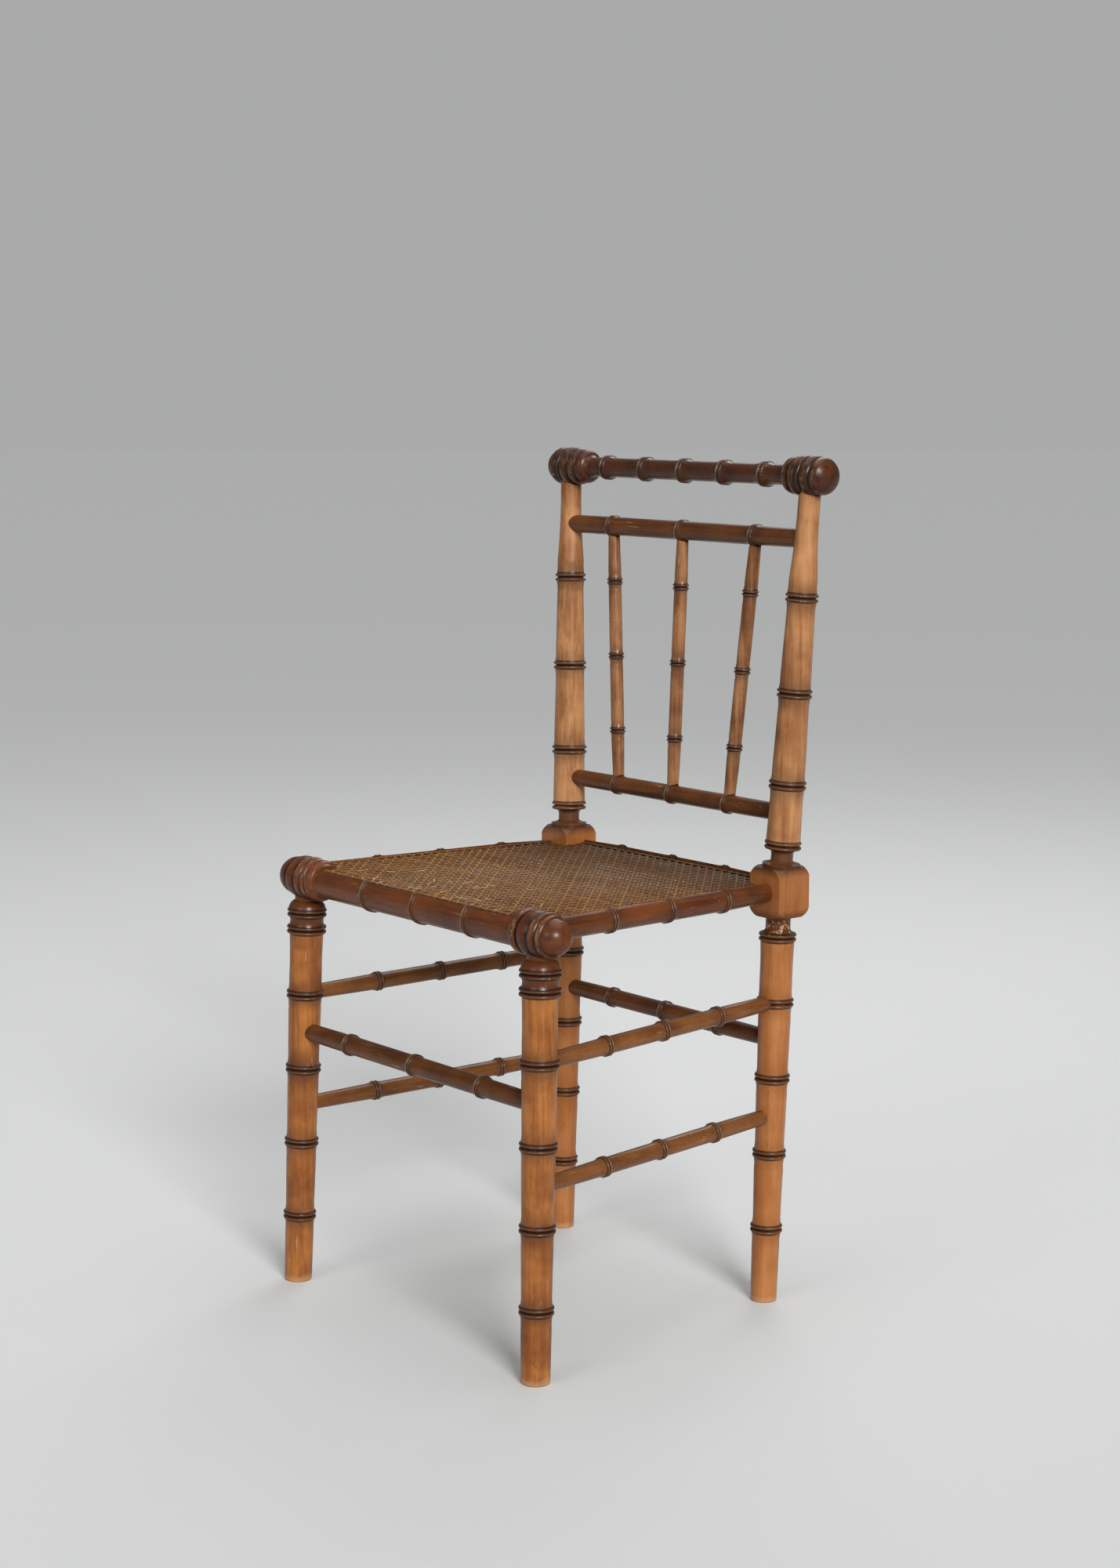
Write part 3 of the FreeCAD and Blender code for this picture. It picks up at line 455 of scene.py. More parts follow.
def age_group():
    """Marks of age: dark specks, dark pores along the grain, pale scratches and spots of lost lacquer."""
    tree, given, out = new_group(
        "Age Marks", {VECTOR: ("Vector", "Stretch")}, {FLOAT: ("Specks", "Pores", "Scratches", "Flakes")})
    here = given["Vector"]
    along = here.vector("MULTIPLY", given["Stretch"])["Vector"]
    dirty = here.spots(scale=17.0, detail=2.0, roughness=0.5, low=0.42, high=0.62)
    specks = here.spots(scale=420.0, detail=2.0, low=0.66, high=0.73)
    pores = along.spots(scale=24.0, detail=2.0, low=0.58, high=0.70)
    worn = here.spots(scale=31.0, detail=2.0, roughness=0.5, low=0.50, high=0.66)
    scratches = along.spots(scale=9.0, detail=1.0, roughness=0.4, low=0.69, high=0.75)
    bald = here.spots(scale=12.0, detail=1.0, roughness=0.5, low=0.58, high=0.68)
    flakes = here.spots(scale=260.0, roughness=0.7, low=0.67, high=0.71)
    feed_all(
        tree, out, Specks=specks * dirty, Pores=pores * dirty, Scratches=scratches * worn,
        Flakes=flakes * bald)
    return tree


# How the marks of several rows of rings join
RING_MARKS = (("Mask", "MAXIMUM"), ("Groove", "MAXIMUM"), ("Crown", "MAXIMUM"), ("Distance", "MINIMUM"))

# How the finish wears: shares of a foot's worn height, and strengths
SOLE_TOP = 0.45
SOLE_FLOOR = -0.35
LEAST_RING = 0.65
CLOUD_DULL = 0.22
FLAKE_DULL = 0.25
FLAKE_DEPTH = 1.5


class Finish:
    """One lacquered wood, built up step by step from the shared groups."""

    def __init__(self, name, stretch, light, deep):
        self.material, self.tree, self.inputs = new_material(name)
        self.vector = put(self.tree, "ShaderNodeTexCoord")["Object"]
        self.place = self.vector.parts()
        self.grain = self.group(
            "Stained Grain", grain_group, Stretch=stretch, Light=light, Deep=deep)
        self.age = self.group("Age Marks", age_group, Stretch=stretch)
        self.color = self.grain["Color"]
        self.marks = {}

    def group(self, name, maker, **inputs):
        return shared(self.tree, name, maker, Vector=self.vector, **inputs)

    def along(self, start, end):
        """Position along a stick from start to end."""
        axis = (end - start).normalized()
        return self.group("Along Stick", line_group, Start=start, Axis=axis)["Distance"]

    def rings(self, position, middle, pitch, half, before=1, after=1):
        """Scorched rings at even steps along a position, so many before and after the middle one."""
        bands = shared(
            self.tree, "Ring Bands", band_group, Position=position, Middle=middle, Pitch=pitch,
            Before=before, After=after, Half_Width=half)
        for mark, join in RING_MARKS:
            old = self.marks.get(mark)
            self.marks[mark] = old.math(join, bands[mark]) if old else bands[mark]

    def ring(self, position, middle, half):
        """One scorched ring, whatever the pitch."""
        self.rings(position, middle, 1.0, half, before=0, after=0)

    def grooves(self, centre, ball):
        """Near black painted shade in the grooves of a beehive end, darker the deeper they lie."""
        hive = self.group(
            "Beehive Grooves", groove_group, Centre=centre, Ball=ball, Length=axes().hive_length)
        self.marks["Groove"] = self.marks["Groove"].math("MAXIMUM", hive["Mask"])
        self.stain(hive["Crown"], lacquer().bare_wood, strength=0.30)

    def stain(self, mask, tint, strength):
        """A patch of other stain under a mask."""
        self.color = self.color.stain(mask, tint, strength)

    def shade_bays(self, strength, reach):
        """Darker stain towards the rings, paler in the middle of each bay."""
        self.stain(self.marks["Distance"].ramp(reach, 0.0), lacquer().ring, strength)

    def redden(self, strength):
        """Patches where the stain has gone red."""
        patches = self.vector.spots(scale=15.0, roughness=0.62, low=0.48, high=0.66)
        self.stain(patches, lacquer().red_light, strength)

    def wear_feet(self, top):
        """Bare wood at the soles, with a ragged upper edge."""
        ragged = self.place["Z"] + self.vector.noise(scale=90.0) * -top
        self.stain(ragged.ramp(top * SOLE_TOP, top * SOLE_FLOOR), lacquer().bare_wood, strength=0.45)

    def done(self, rings=0.86, scratches=0.45, flakes=0.55, crowns=0.10):
        """The finished material, with rings, marks of age and pale wear with a painted highlight on each
        ring's crown, of the given strengths.
        """
        colours = lacquer()
        patchy = self.vector.spots(scale=55.0, low=0.30, high=0.52)
        uneven = patchy * (1 - LEAST_RING) + LEAST_RING
        self.stain(self.marks["Mask"] * rings, colours.ring, uneven)
        # Pale wear and a painted highlight on the crown of each ring, in patches
        self.stain(self.marks["Crown"] * patchy, colours.bare_wood, crowns)
        # Near black in the ring grooves, and painted shade in the beehive grooves
        self.stain(self.marks["Groove"], colours.scorch, uneven)
        self.stain(self.age["Pores"], colours.ring, strength=0.6)
        self.stain(self.age["Specks"], colours.scorch, strength=0.75)
        self.stain(self.age["Scratches"], colours.bare_wood, scratches)
        self.stain(self.age["Flakes"], colours.bare_wood, flakes)
        dull = self.grain["Cloud"] * CLOUD_DULL + self.age["Flakes"] * FLAKE_DULL
        bump = put(
            self.tree, "ShaderNodeBump", Strength=colours.relief, Distance=colours.relief_depth,
            Height=self.grain["Height"] - self.age["Flakes"] * FLAKE_DEPTH)
        feed_all(
            self.tree, self.inputs, Base_Color=self.color, Normal=bump["Normal"],
            Roughness=dull.math("ADD", colours.roughness - CLOUD_DULL / 2, clamp=True),
            Coat_Weight=colours.coat, Coat_Roughness=colours.coat_roughness,
            Specular_IOR_Level=colours.sheen)
        return self.material


def on_axis(low, high, height):
    """The point at a height on a leg's axis."""
    return low.lerp(high, (height - low.z) / (high.z - low.z))


def wear(nodes, material):
    """Puts a finish on CAD nodes."""
    for name in nodes:
        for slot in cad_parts[name].material_slots:
            slot.material = material


# How each way of running stretches the grain
UPRIGHT = (60.0, 60.0, 3.0)
CROSSWISE = (3.0, 60.0, 60.0)
SIDEWAYS = (60.0, 3.0, 60.0)

# How many ring pitches the lower side stretchers lie below the upper ones
STRETCHER_STEP = 1.5


class CHAIR_OT_finish_front_legs(bpy.types.Operator):
    """Honey lacquer on the front legs, with scorched rings and worn feet"""

    bl_idname = "chair.finish_front_legs"
    bl_label = "Finish front legs"

    def execute(self, context):
        at = axes()
        tint = lacquer()
        wood = Finish("front_leg_honey", UPRIGHT, tint.honey_light, tint.honey_deep)
        height = wood.along(at.front_foot, at.front_top)
        wood.redden(strength=0.6)
        wood.rings(height, at.front_ring, at.ring_pitch, at.leg_band, before=3, after=0)
        wood.shade_bays(strength=0.55, reach=0.024)
        capped = height.fade(at.front_collar, none=-0.004, full=0.002)
        wood.stain(capped, tint.red_deep, strength=0.82)
        wood.rings(height, at.front_collar, at.front_cap - at.front_collar, at.leg_band, before=0)
        wood.wear_feet(top=0.010)
        wear(FRONT_LEGS, wood.done())
        return {"FINISHED"}


class CHAIR_OT_finish_back_posts(bpy.types.Operator):
    """Honey lacquer on the back posts, with scorched rings, a flaked neck and worn feet"""

    bl_idname = "chair.finish_back_posts"
    bl_label = "Finish back posts"

    def execute(self, context):
        at = axes()
        tint = lacquer()
        wood = Finish("back_post_honey", UPRIGHT, tint.pale_light, tint.pale_deep)
        block = at.block
        crest = at.crest
        low = wood.along(at.rear_foot, block)
        high = wood.along(block, crest)
        wood.redden(strength=0.38)
        wood.rings(low, at.rear_ring, at.ring_pitch, at.leg_band, before=3, after=0)
        stick = (crest - block).length / (crest.z - block.z)
        for ring in (at.post_ring_second, at.post_ring_third, at.post_ring_top):
            wood.ring(high, (ring - block.z) * stick, at.leg_band)
        wood.shade_bays(strength=0.50, reach=0.026)
        wood.ring(high, (at.post_ring_low - block.z) * stick, at.leg_band)
        wood.ring(low, at.rear_collar, at.leg_band)
        height = wood.place["Z"]
        wood.stain(height.fade(block.z, none=0.030, full=0.018), tint.lower_honey, strength=0.5)
        from_block = abs(height - block.z)
        edges = from_block.ramp(low=0.015, high=0.025) * from_block.ramp(low=0.029, high=0.027)
        wood.stain(from_block.ramp(low=0.032, high=0.027), tint.honey_deep, strength=0.35)
        wood.stain(edges, tint.red_deep, strength=0.7)
        above_collar = height.fade(at.rear_collar, none=0.0, full=0.006)
        neck = above_collar * height.fade(block.z, none=-0.026, full=-0.030)
        wood.stain(neck, tint.red_deep, strength=0.85)
        flaked = neck * wood.vector.spots(scale=240.0, detail=4.0, roughness=0.7, low=0.53, high=0.57)
        wood.stain(flaked * wood.place["X"].ramp(0.0, block.x), tint.bare_wood, strength=0.7)
        below_ring = height.fade(at.post_ring_low, none=0.0, full=-0.003)
        throat = height.fade(block.z, none=0.022, full=0.027) * below_ring
        wood.stain(throat, tint.red_deep, strength=0.85)
        wood.wear_feet(top=0.009)
        wear(BACK_POSTS, wood.done())
        return {"FINISHED"}


class CHAIR_OT_finish_spindles(bpy.types.Operator):
    """Brown lacquer on the spindles of the back"""

    bl_idname = "chair.finish_spindles"
    bl_label = "Finish spindles"

    def execute(self, context):
        at = axes()
        tint = lacquer()
        wood = Finish("spindle_honey", UPRIGHT, tint.spindle_light, tint.orange_deep)
        wood.rings(wood.place["Z"], at.spindle_middle, at.spindle_pitch, at.rail_band)
        wood.shade_bays(strength=0.45, reach=0.020)
        wear(SPINDLES, wood.done())
        return {"FINISHED"}


class CHAIR_OT_finish_cross_rails(bpy.types.Operator):
    """Dark lacquer on the crest rail, the back rails, the front and rear seat rails and stretchers"""

    bl_idname = "chair.finish_cross_rails"
    bl_label = "Finish cross rails"

    def execute(self, context):
        at = axes()
        tint = lacquer()
        hive = Vector((at.hive_centre, 0.0, 0.0))
        crest = Finish("crest_dark", CROSSWISE, tint.crest_light, tint.crest_deep)
        crest.rings(crest.place["X"], 0.0, at.crest_pitch, at.rail_band, before=2, after=2)
        crest.grooves(at.crest + hive, at.crest_ball)
        wear(("crest_rail",), crest.done(rings=0.5, scratches=0.3, flakes=0.25, crowns=0.24))
        front = Finish("front_rail_red_brown", CROSSWISE, tint.red_light, tint.red_deep)
        front.rings(front.place["X"], at.front_rail_shift, at.front_rail_pitch, at.rail_band)
        front.grooves(at.front_top + hive, at.front_ball)
        wear(("front_seat_rail",), front.done(rings=0.62, scratches=0.4, flakes=0.4, crowns=0.30))
        for node, pitch in (
            ("upper_back_rail", at.upper_pitch), ("lower_back_rail", at.lower_pitch),
            ("front_stretcher", at.front_stretcher_pitch), ("rear_stretcher", at.rear_stretcher_pitch),
            ("rear_seat_rail", at.rear_rail_pitch),
        ):
            wood = Finish(node + "_brown", CROSSWISE, tint.brown_light, tint.brown_deep)
            wood.rings(wood.place["X"], 0.0, pitch, at.rail_band)
            wood.shade_bays(strength=0.25, reach=0.016)
            wear((node,), wood.done(rings=0.6, scratches=0.4, flakes=0.35, crowns=0.28))
        return {"FINISHED"}


class CHAIR_OT_finish_side_sticks(bpy.types.Operator):
    """Red brown lacquer on the side seat rails and orange brown on the side stretchers"""

    bl_idname = "chair.finish_side_sticks"
    bl_label = "Finish side rails and stretchers"

    def execute(self, context):
        at = axes()
        tint = lacquer()
        self.finish(
            "side_rail_red_brown", SIDE_RAILS, at.front_top, at.block, tint.red_light, tint.red_deep)
        for level, fall in (("upper", 0.0), ("lower", at.ring_pitch * STRETCHER_STEP)):
            start = on_axis(at.front_foot, at.front_top, at.front_ring - fall)
            end = on_axis(at.rear_foot, at.block, at.rear_ring - fall)
            nodes = [name for name in SIDE_STRETCHERS if level in name]
            self.finish(
                "side_stretcher_orange_" + level, nodes, start, end, tint.orange_light, tint.orange_deep)
        return {"FINISHED"}

    def finish(self, name, nodes, start, end, light, deep):
        """One finish with three rings about the middle of a stick from start to end."""
        at = axes()
        wood = Finish(name, SIDEWAYS, light, deep)
        wood.rings(wood.along(start, end), (end - start).length / 2, at.side_pitch, at.rail_band)
        wood.shade_bays(strength=0.3, reach=0.016)
        wear(nodes, wood.done(rings=0.6, crowns=0.28))


# Cane seat

# Least turn between a strand and an edge that it can cross
PARALLEL = 1e-12

# Shoulders of a strip's domed section, as shares of its half width and height
SHOULDER_WIDTH = 0.6
SHOULDER_HEIGHT = 0.8

# Where the cane goes rusty and dusty: distances in metres, and shares of the seat's half width
CLOUD_REACH = 0.12
RUST_START = 0.02
RUST_END = 0.06
DUST_EDGE = 0.8
DUST_MIDDLE = 0.3

# How far the roughness of the cane spreads, and how far it starts below its mean
ROUGH_SPREAD = 0.25
ROUGH_START = 0.12

# Steps along a strand, and the thicknesses of strand from the bottom of the weave to its top
STEPS_PER_PITCH = 6
FEWEST_STEPS = 4
WEAVE_LAYERS = 2.4

# Heights of the strands, in thicknesses of strand
LAYER = 0.5
LAYER_WAVE = 0.12
OVER_WAVE = 0.62
UNDER_WAVE = 1.55

# Unevenness of the strands, as shares of the pitch and of their width
DRIFT = 0.035
STRAND_WIDTHS = (0.88, 1.08)

# Binding strips and their loops, in metres or as shares of the pitch, the strip and the strand
TIED_STEPS = 4
TIED_DIP = 0.0002
LOOP_DRIFT = 0.08
LOOP_REACH = 0.75
LOOP_STEPS = 6
LOOP_RISE = 1.2
LOOP_THICKNESS = 0.7

# Broken ends: where they stand, in metres or as shares of the front edge, and their form
FRAY_SPREAD = 0.9
FRAY_REACH = 0.12
FRAY_CROWDING = 3
FRAY_SHORTEST = 0.35
FRAY_CURL = (0.05, 0.3)
FRAY_STEPS = 5
FRAY_RISE = 1.6
FRAY_WIDTH = 0.4
FRAY_THICKNESS = 0.5

WEAVE_SEED = 11
BINDING_SEED = 5
FRAY_SEED = 23


def seat_outline():
    """The seat's edge, as points in X and Y, up the right-hand side and down the left."""
    front_low, front_high = FRONT_STRIP
    rear_high = REAR_STRIP[1]
    side_low, side_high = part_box("cane_binder_right")
    strip = front_high.y - front_low.y
    right = [
        (front_high.x, front_low.y), (side_high.x, side_low.y),
        (side_low.x + strip, side_high.y), (rear_high.x, side_high.y), (rear_high.x, rear_high.y),
    ]
    return right + [(-x, y) for x, y in reversed(right)]


def crossings(edge, start, direction):
    """Where a line enters and leaves the seat's edge, as distances along it."""
    found = []
    for index, (ax, ay) in enumerate(edge):
        bx, by = edge[(index + 1) % len(edge)]
        run_x = bx - ax
        run_y = by - ay
        across = direction.x * run_y - direction.y * run_x
        if abs(across) < PARALLEL:
            continue
        to_x = ax - start.x
        to_y = ay - start.y
        place_on_edge = (to_x * direction.y - to_y * direction.x) / across
        if 0.0 <= place_on_edge < 1.0:
            found.append((to_x * run_y - to_y * run_x) / across)
    found.sort()
    return list(zip(found[0::2], found[1::2]))


def up(height):
    return Vector((0.0, 0.0, height))


def beside(direction):
    """The level direction to the left of another one."""
    return Vector((-direction.y, direction.x, 0.0))


class Ribbon:
    """Flat strips with a domed section, gathered in one mesh with a tone for each strip."""

    def __init__(self):
        self.mesh = bmesh.new()
        self.tone = self.mesh.verts.layers.float.new("tone")
        self.lift = self.mesh.verts.layers.float.new("lift")

    def lay(self, points, sideways, width, thickness, tone, tips=1.0, lifts=None):
        """Lays one strip through points; sideways is its width direction and tips its width at the ends.

        Lifts say how high each point lies in the weave, from 0 at the bottom to 1 on top; the cane material
        paints shade on the low points."""
        rings = []
        last = len(points) - 1
        for index, centre in enumerate(points):
            end = index in (0, last)
            half = sideways * (width / 2 * (tips if end else 1.0))
            lift = up(thickness / 2)
            shoulder = half * SHOULDER_WIDTH
            raised = lift * SHOULDER_HEIGHT
            section = (
                centre - half, centre - shoulder + raised, centre + lift, centre + shoulder + raised,
                centre + half, centre - lift,
            )
            ring = [self.mesh.verts.new(corner) for corner in section]
            for vertex in ring:
                vertex[self.tone] = tone
                vertex[self.lift] = lifts[index] if lifts else 1.0
            rings.append(ring)
        for first, second in zip(rings, rings[1:]):
            for side in range(len(first)):
                after = (side + 1) % len(first)
                self.mesh.faces.new((first[side], first[after], second[after], second[side]))
        self.mesh.faces.new(rings[0][::-1])
        self.mesh.faces.new(rings[-1])

    def finish(self, name, material, slot):
        bmesh.ops.recalc_face_normals(self.mesh, faces=self.mesh.faces)
        data = bpy.data.meshes.new(name)
        self.mesh.to_mesh(data)
        self.mesh.free()
        data.shade_smooth()
        data.materials.append(material)
        piece = bpy.data.objects.new(name, data)
        bpy.context.scene.collection.objects.link(piece)
        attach(piece, BODY)
        return piece


def cane_material():
    """Old cane: straw to a dark reddish brown by strand and by place, greyed where it is sat on, with painted
    shade on the strands low in the weave.
    """
    name = "old_cane"
    if name in bpy.data.materials:
        return bpy.data.materials[name]
    colours = cane()
    material, tree, inputs = new_material(name)
    vector = put(tree, "ShaderNodeTexCoord")["Object"]
    here = vector.parts()
    tone, lift = (
        put(tree, "ShaderNodeAttribute", {"attribute_name": layer})["Fac"] for layer in ("tone", "lift"))
    age = shared(tree, "Age Marks", age_group, Vector=vector, Stretch=SIDEWAYS)
    mottled = vector.noise(scale=240.0)
    clouds = vector.noise(scale=13.0, roughness=0.5)
    straw = tone.blend(mottled, part=0.55).ramp(low=0.25, high=0.75)
    back = (here["Y"] + clouds * CLOUD_REACH).ramp(
        (SEAT_LOW.y + SEAT_HIGH.y) / 2 + RUST_START, SEAT_HIGH.y + RUST_END)
    inner = abs(here["X"]).ramp(SEAT_HIGH.x * DUST_EDGE, SEAT_HIGH.x * DUST_MIDDLE)
    sat_on = inner * clouds.ramp(low=0.35, high=0.6)
    # Painted shade: strands low in the weave are painted dark, so the gaps between the top strands read as
    # shadow
    under = lift.ramp(low=0.72, high=0.28)
    color = straw.mix(colours.tan, colours.straw)
    color = color.stain(back, colours.rust, strength=0.75)
    color = color.stain(sat_on, colours.dust, strength=0.25)
    color = color.stain(under, colours.rust, strength=0.93)
    color = color.stain(age["Specks"], colours.rust, strength=0.8)
    color = tone.ramp(low=1.2, high=1.8).mix(color, colours.fray)
    rough = (mottled * ROUGH_SPREAD).math("ADD", colours.roughness - ROUGH_START, clamp=True)
    bump = put(
        tree, "ShaderNodeBump", Strength=colours.relief, Distance=colours.relief_depth, Height=mottled)
    feed_all(
        tree, inputs, Base_Color=color, Roughness=rough, Specular_IOR_Level=colours.sheen,
        Normal=bump["Normal"])
    return material


def strip_height(y):
    """Underside of the binding strips, which falls from the front edge to the rear one."""
    front_low, front_high = FRONT_STRIP
    rear_low, rear_high = REAR_STRIP
    front_y = (front_low.y + front_high.y) / 2
    rear_y = (rear_low.y + rear_high.y) / 2
    return front_low.z + (rear_low.z - front_low.z) * (y - front_y) / (rear_y - front_y)


def seat_height(x, y):
    """Height of the middle of the weave, hanging a little in the middle of the seat."""
    across = x / SEAT_HIGH.x
    through = (2 * y - SEAT_LOW.y - SEAT_HIGH.y) / (SEAT_HIGH.y - SEAT_LOW.y)
    bowl = max(0.0, 1 - across * across) * max(0.0, 1 - through * through)
    return strip_height(y) - cane().weave_depth - cane().sag * bowl


def woven(ribbon, edge, start, direction, wave, width, tone):
    """Lays one strand along a line, wherever the line lies on the seat, its height following wave."""
    sizes = cane()
    thick = sizes.strand_thickness
    for near, far in crossings(edge, start, direction):
        if far - near < sizes.pitch / 2:
            continue
        count = max(FEWEST_STEPS, int((far - near) / sizes.pitch * STEPS_PER_PITCH))
        points = []
        lifts = []
        for index in range(count + 1):
            spot = start + direction * (near + (far - near) * index / count)
            rise = wave(spot)
            spot.z = seat_height(spot.x, spot.y) + rise
            points.append(spot)
            # How high the point lies in the weave, which sets the painted shade of low strands
            lifts.append(min(1.0, max(0.0, 0.5 + rise / thick / WEAVE_LAYERS)))
        ribbon.lay(points, beside(direction), width, thick, tone, lifts=lifts)


class CHAIR_OT_weave_cane(bpy.types.Operator):
    """Weaves the cane seat: pairs of strands both ways and slanting strands over and under them"""

    bl_idname = "chair.weave_cane"
    bl_label = "Weave cane"

    def execute(self, context):
        sizes = cane()
        chance = random.Random(WEAVE_SEED)
        ribbon = Ribbon()
        edge = seat_outline()
        middle_y = (SEAT_LOW.y + SEAT_HIGH.y) / 2
        pitch = sizes.pitch
        turn = 2 * math.pi / pitch
        thick = sizes.strand_thickness
        columns = int(SEAT_HIGH.x / pitch) + 1
        rows = int((SEAT_HIGH.y - SEAT_LOW.y) / 2 / pitch) + 1
        slants = columns + rows

        def low_wave(spot):
            return -thick * (LAYER + LAYER_WAVE * math.cos(turn * (spot.y - middle_y)))

        def high_wave(spot):
            return thick * (LAYER + LAYER_WAVE * math.cos(turn * spot.x))

        def over_wave(spot):
            return thick * OVER_WAVE * math.cos(turn * spot.x)

        def under_wave(spot):
            return -thick * UNDER_WAVE * math.cos(turn * spot.x)

        def laid(start, direction, wave, width):
            drift = Vector((chance.uniform(-1, 1), chance.uniform(-1, 1), 0.0)) * (pitch * DRIFT)
            wide = width * chance.uniform(*STRAND_WIDTHS)
            woven(ribbon, edge, start + drift, direction, wave, wide, chance.random())

        for column in range(-columns, columns + 1):
            for side in (-0.5, 0.5):
                x = column * pitch + side * sizes.pair_gap
                laid(Vector((x, 0, 0)), Vector((0, 1, 0)), low_wave, sizes.strand_width)
        for row in range(-rows, rows + 1):
            for side in (-0.5, 0.5):
                y = middle_y + row * pitch + side * sizes.pair_gap
                laid(Vector((0, y, 0)), Vector((1, 0, 0)), high_wave, sizes.strand_width)
        for slant in range(-slants, slants + 1):
            start = Vector((0, middle_y + (slant + 0.5) * pitch, 0))
            laid(start, Vector((1, 1, 0)).normalized(), over_wave, sizes.slant_width)
            laid(start, Vector((1, -1, 0)).normalized(), under_wave, sizes.slant_width)
        seat = ribbon.finish("cane_weave", cane_material(), "cane")
        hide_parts("cane_seat")
        return {"FINISHED"}


class CHAIR_OT_bind_cane(bpy.types.Operator):
    """Lays the binding strips on the seat's edge and ties them down with loops"""

    bl_idname = "chair.bind_cane"
    bl_label = "Bind cane"

    def execute(self, context):
        sizes = cane()
        chance = random.Random(BINDING_SEED)
        for node in BINDERS:
            low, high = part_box(node)
            ribbon = Ribbon()
            start, end = self.ends(low, high)
            run = end - start
            direction = run.normalized()
            sideways = beside(direction)
            count = int(run.length / sizes.pitch)
            points = []
            for index in range(count * TIED_STEPS + 1):
                tied = math.cos(index / TIED_STEPS * 2 * math.pi)
                points.append(start + run * (index / (count * TIED_STEPS)) + up(-TIED_DIP * tied))
            ribbon.lay(
                points, sideways, sizes.binder_width, sizes.binder_thickness, tone=0.25, tips=0.6)
            for index in range(count):
                drift = chance.uniform(-LOOP_DRIFT, LOOP_DRIFT)
                middle = start + direction * (sizes.pitch * (index + 0.5 + drift))
                self.tie(ribbon, middle, sideways, direction, chance.random())
            strip = ribbon.finish(node.replace("cane_binder", "binding"), cane_material(), "cane")
            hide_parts(node)
        return {"FINISHED"}

    def ends(self, low, high):
        """Middle line of a binding strip, from its front or left end."""
        half = (FRONT_STRIP[1].y - FRONT_STRIP[0].y) / 2
        if high.x - low.x > high.y - low.y:
            y = (low.y + high.y) / 2
            ends = (low.x, y), (high.x, y)
        elif low.x > 0:
            ends = (high.x - half, low.y), (low.x + half, high.y)
        else:
            ends = (low.x + half, low.y), (high.x - half, high.y)
        lift = cane().binder_thickness / 2
        return [Vector((x, y, strip_height(y) + lift)) for x, y in ends]

    def tie(self, ribbon, middle, sideways, direction, tone):
        """One loop over the strip, from the hole at one side to the hole at the other."""
        sizes = cane()
        thick = sizes.binder_thickness
        reach = sizes.binder_width * LOOP_REACH
        points = []
        for step in range(LOOP_STEPS + 1):
            turn = math.pi * step / LOOP_STEPS
            rise = up(math.sin(turn) * thick * LOOP_RISE - thick / 2)
            points.append(middle + sideways * (-math.cos(turn) * reach) + rise)
        ribbon.lay(
            points, direction, sizes.loop_width, sizes.strand_thickness * LOOP_THICKNESS, tone, tips=0.6)


class CHAIR_OT_fray_cane(bpy.types.Operator):
    """Broken strand ends that stand up from the weave, most of them near the front edge"""

    bl_idname = "chair.fray_cane"
    bl_label = "Fray cane"

    def execute(self, context):
        sizes = cane()
        thick = sizes.strand_thickness
        chance = random.Random(FRAY_SEED)
        ribbon = Ribbon()
        front_high = FRONT_STRIP[1]
        for _ in range(sizes.fray_count):
            x = chance.uniform(-FRAY_SPREAD, FRAY_SPREAD) * front_high.x
            y = front_high.y + chance.uniform(0.0, 1.0) ** FRAY_CROWDING * FRAY_REACH
            turn = chance.uniform(0, 2 * math.pi)
            out = Vector((math.cos(turn), math.sin(turn), 0.0))
            long = sizes.fray_length * chance.uniform(FRAY_SHORTEST, 1.0)
            curl = chance.uniform(*FRAY_CURL)
            points = []
            for step in range(FRAY_STEPS + 1):
                part = step / FRAY_STEPS
                spot = Vector((x, y, 0.0)) + out * (long * part)
                spot.z = seat_height(x, y) + thick * FRAY_RISE + long * curl * part * part
                points.append(spot)
            ribbon.lay(
                points, beside(out), sizes.strand_width * FRAY_WIDTH, thick * FRAY_THICKNESS,
                tone=2.0, tips=0.4)
        ribbon.finish("cane_frays", cane_material(), "cane")
        return {"FINISHED"}


# Sides of the round floor, and how far the camera sees in metres
FLOOR_SIDES = 96
FARTHEST_SEEN = 100.0


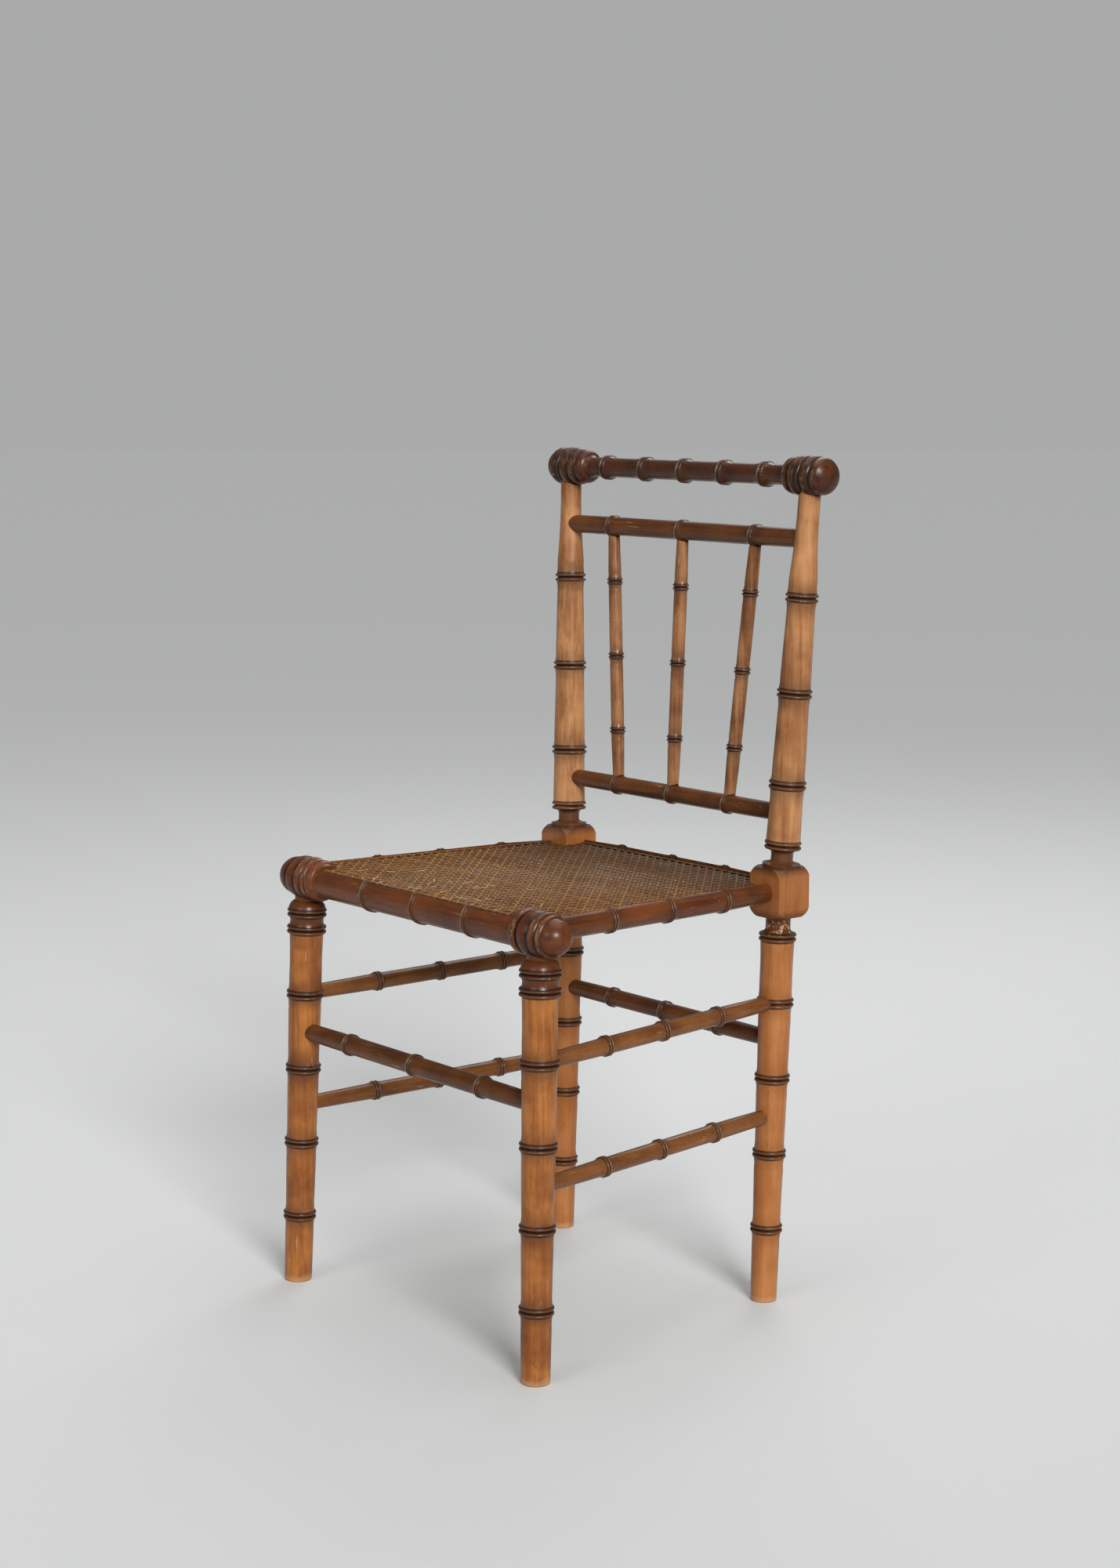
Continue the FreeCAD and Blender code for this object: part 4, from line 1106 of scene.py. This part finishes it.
class CHAIR_OT_set_stage(bpy.types.Operator):
    """Pale floor, soft lamps and the camera"""

    bl_idname = "chair.set_stage"
    bl_label = "Set stage"

    def execute(self, context):
        self.floor()
        self.lamps()
        self.air()
        self.camera()
        context.scene.view_settings.view_transform = "Standard"
        return {"FINISHED"}

    def add(self, name, data):
        holder = bpy.data.objects.new(name, data)
        bpy.context.scene.collection.objects.link(holder)
        return holder

    def floor(self):
        sizes = stage()
        mesh = bmesh.new()
        bmesh.ops.create_circle(mesh, cap_ends=True, segments=FLOOR_SIDES, radius=sizes.floor_size / 2)
        data = bpy.data.meshes.new("studio_floor")
        mesh.to_mesh(data)
        mesh.free()
        material, tree, inputs = new_material("pale_floor")
        feed_all(
            tree, inputs, Base_Color=sizes.floor_colour, Roughness=sizes.floor_roughness,
            Specular_IOR_Level=sizes.floor_sheen)
        data.materials.append(material)
        self.add("studio_floor", data)

    def lamps(self):
        sizes = stage()
        low, high = CAD_BOX
        middle = (low + high) / 2
        key = bpy.data.lights.new("key_light", "SUN")
        key.energy = sizes.key_strength
        key.angle = sizes.key_spread
        lamps = [(key, sizes.key_place)]
        for name in ("fill", "back", "top"):
            lamp = bpy.data.lights.new(name + "_lamp", "AREA")
            lamp.size = getattr(sizes, name + "_side")
            lamp.energy = getattr(sizes, name + "_power")
            lamps.append((lamp, getattr(sizes, name + "_place")))
        for lamp, spot in lamps:
            holder = self.add(lamp.name, lamp)
            holder.location = spot
            holder.rotation_euler = (middle - spot).to_track_quat("-Z", "Y").to_euler()

    def air(self):
        sizes = stage()
        world = bpy.data.worlds.new("studio_air")
        world.use_nodes = True
        tree = world.node_tree
        sky = tree.nodes["Background"]
        feed_all(tree, sky.inputs, Color=(1.0, 1.0, 1.0), Strength=sizes.sky)
        air = put(tree, "ShaderNodeBackground", Color=sizes.air_colour, Strength=1.0)
        camera_ray = put(tree, "ShaderNodeLightPath")["Is Camera Ray"]
        seen = put(
            tree, "ShaderNodeMixShader", None, camera_ray, Value(tree, sky.outputs[0]), air["Background"])
        feed_all(tree, tree.nodes["World Output"].inputs, Surface=seen["Shader"])
        bpy.context.scene.world = world

    def camera(self):
        sizes = stage()
        turn = sizes.camera_azimuth
        tilt = sizes.camera_elevation
        back = Vector((math.sin(turn) * math.cos(tilt), -math.cos(turn) * math.cos(tilt), math.sin(tilt)))
        lens = bpy.data.cameras.new("photo_camera")
        lens.lens = sizes.camera_lens
        lens.clip_end = FARTHEST_SEEN
        holder = self.add("photo_camera", lens)
        holder.location = sizes.camera_place
        holder.rotation_euler = (-back).to_track_quat("-Z", "Y").to_euler()
        bpy.context.scene.camera = holder


OPERATORS = (
    CHAIR_OT_finish_front_legs, CHAIR_OT_finish_back_posts, CHAIR_OT_finish_spindles,
    CHAIR_OT_finish_cross_rails, CHAIR_OT_finish_side_sticks, CHAIR_OT_weave_cane, CHAIR_OT_bind_cane,
    CHAIR_OT_fray_cane, CHAIR_OT_set_stage,
)


class CHAIR_PT_panel(bpy.types.Panel):
    """Lists the steps that dress the chair"""

    bl_idname = "CHAIR_PT_panel"
    bl_label = "Faux Bamboo Side Chair"
    bl_space_type = "VIEW_3D"
    bl_region_type = "UI"
    bl_category = "Chair"

    def draw(self, context):
        for operator in OPERATORS:
            self.layout.operator(operator.bl_idname)


GROUPS = (
    ("chair_axes", ChairAxes), ("chair_lacquer", LacquerColours), ("chair_cane", CaneSizes),
    ("chair_stage", StageSizes),
)


def register():
    for name, group in GROUPS:
        bpy.utils.register_class(group)
        setattr(bpy.types.Scene, name, PointerProperty(type=group))
    for cls in OPERATORS + (CHAIR_PT_panel,):
        bpy.utils.register_class(cls)


def unregister():
    for cls in reversed(OPERATORS + (CHAIR_PT_panel,)):
        bpy.utils.unregister_class(cls)
    for name, group in reversed(GROUPS):
        delattr(bpy.types.Scene, name)
        bpy.utils.unregister_class(group)


def main():
    register()
    bpy.ops.chair.finish_front_legs()
    bpy.ops.chair.finish_back_posts()
    bpy.ops.chair.finish_spindles()
    bpy.ops.chair.finish_cross_rails()
    bpy.ops.chair.finish_side_sticks()
    bpy.ops.chair.weave_cane()
    bpy.ops.chair.bind_cane()
    bpy.ops.chair.fray_cane()
    bpy.ops.chair.set_stage()


if __name__ == "__main__":
    main()
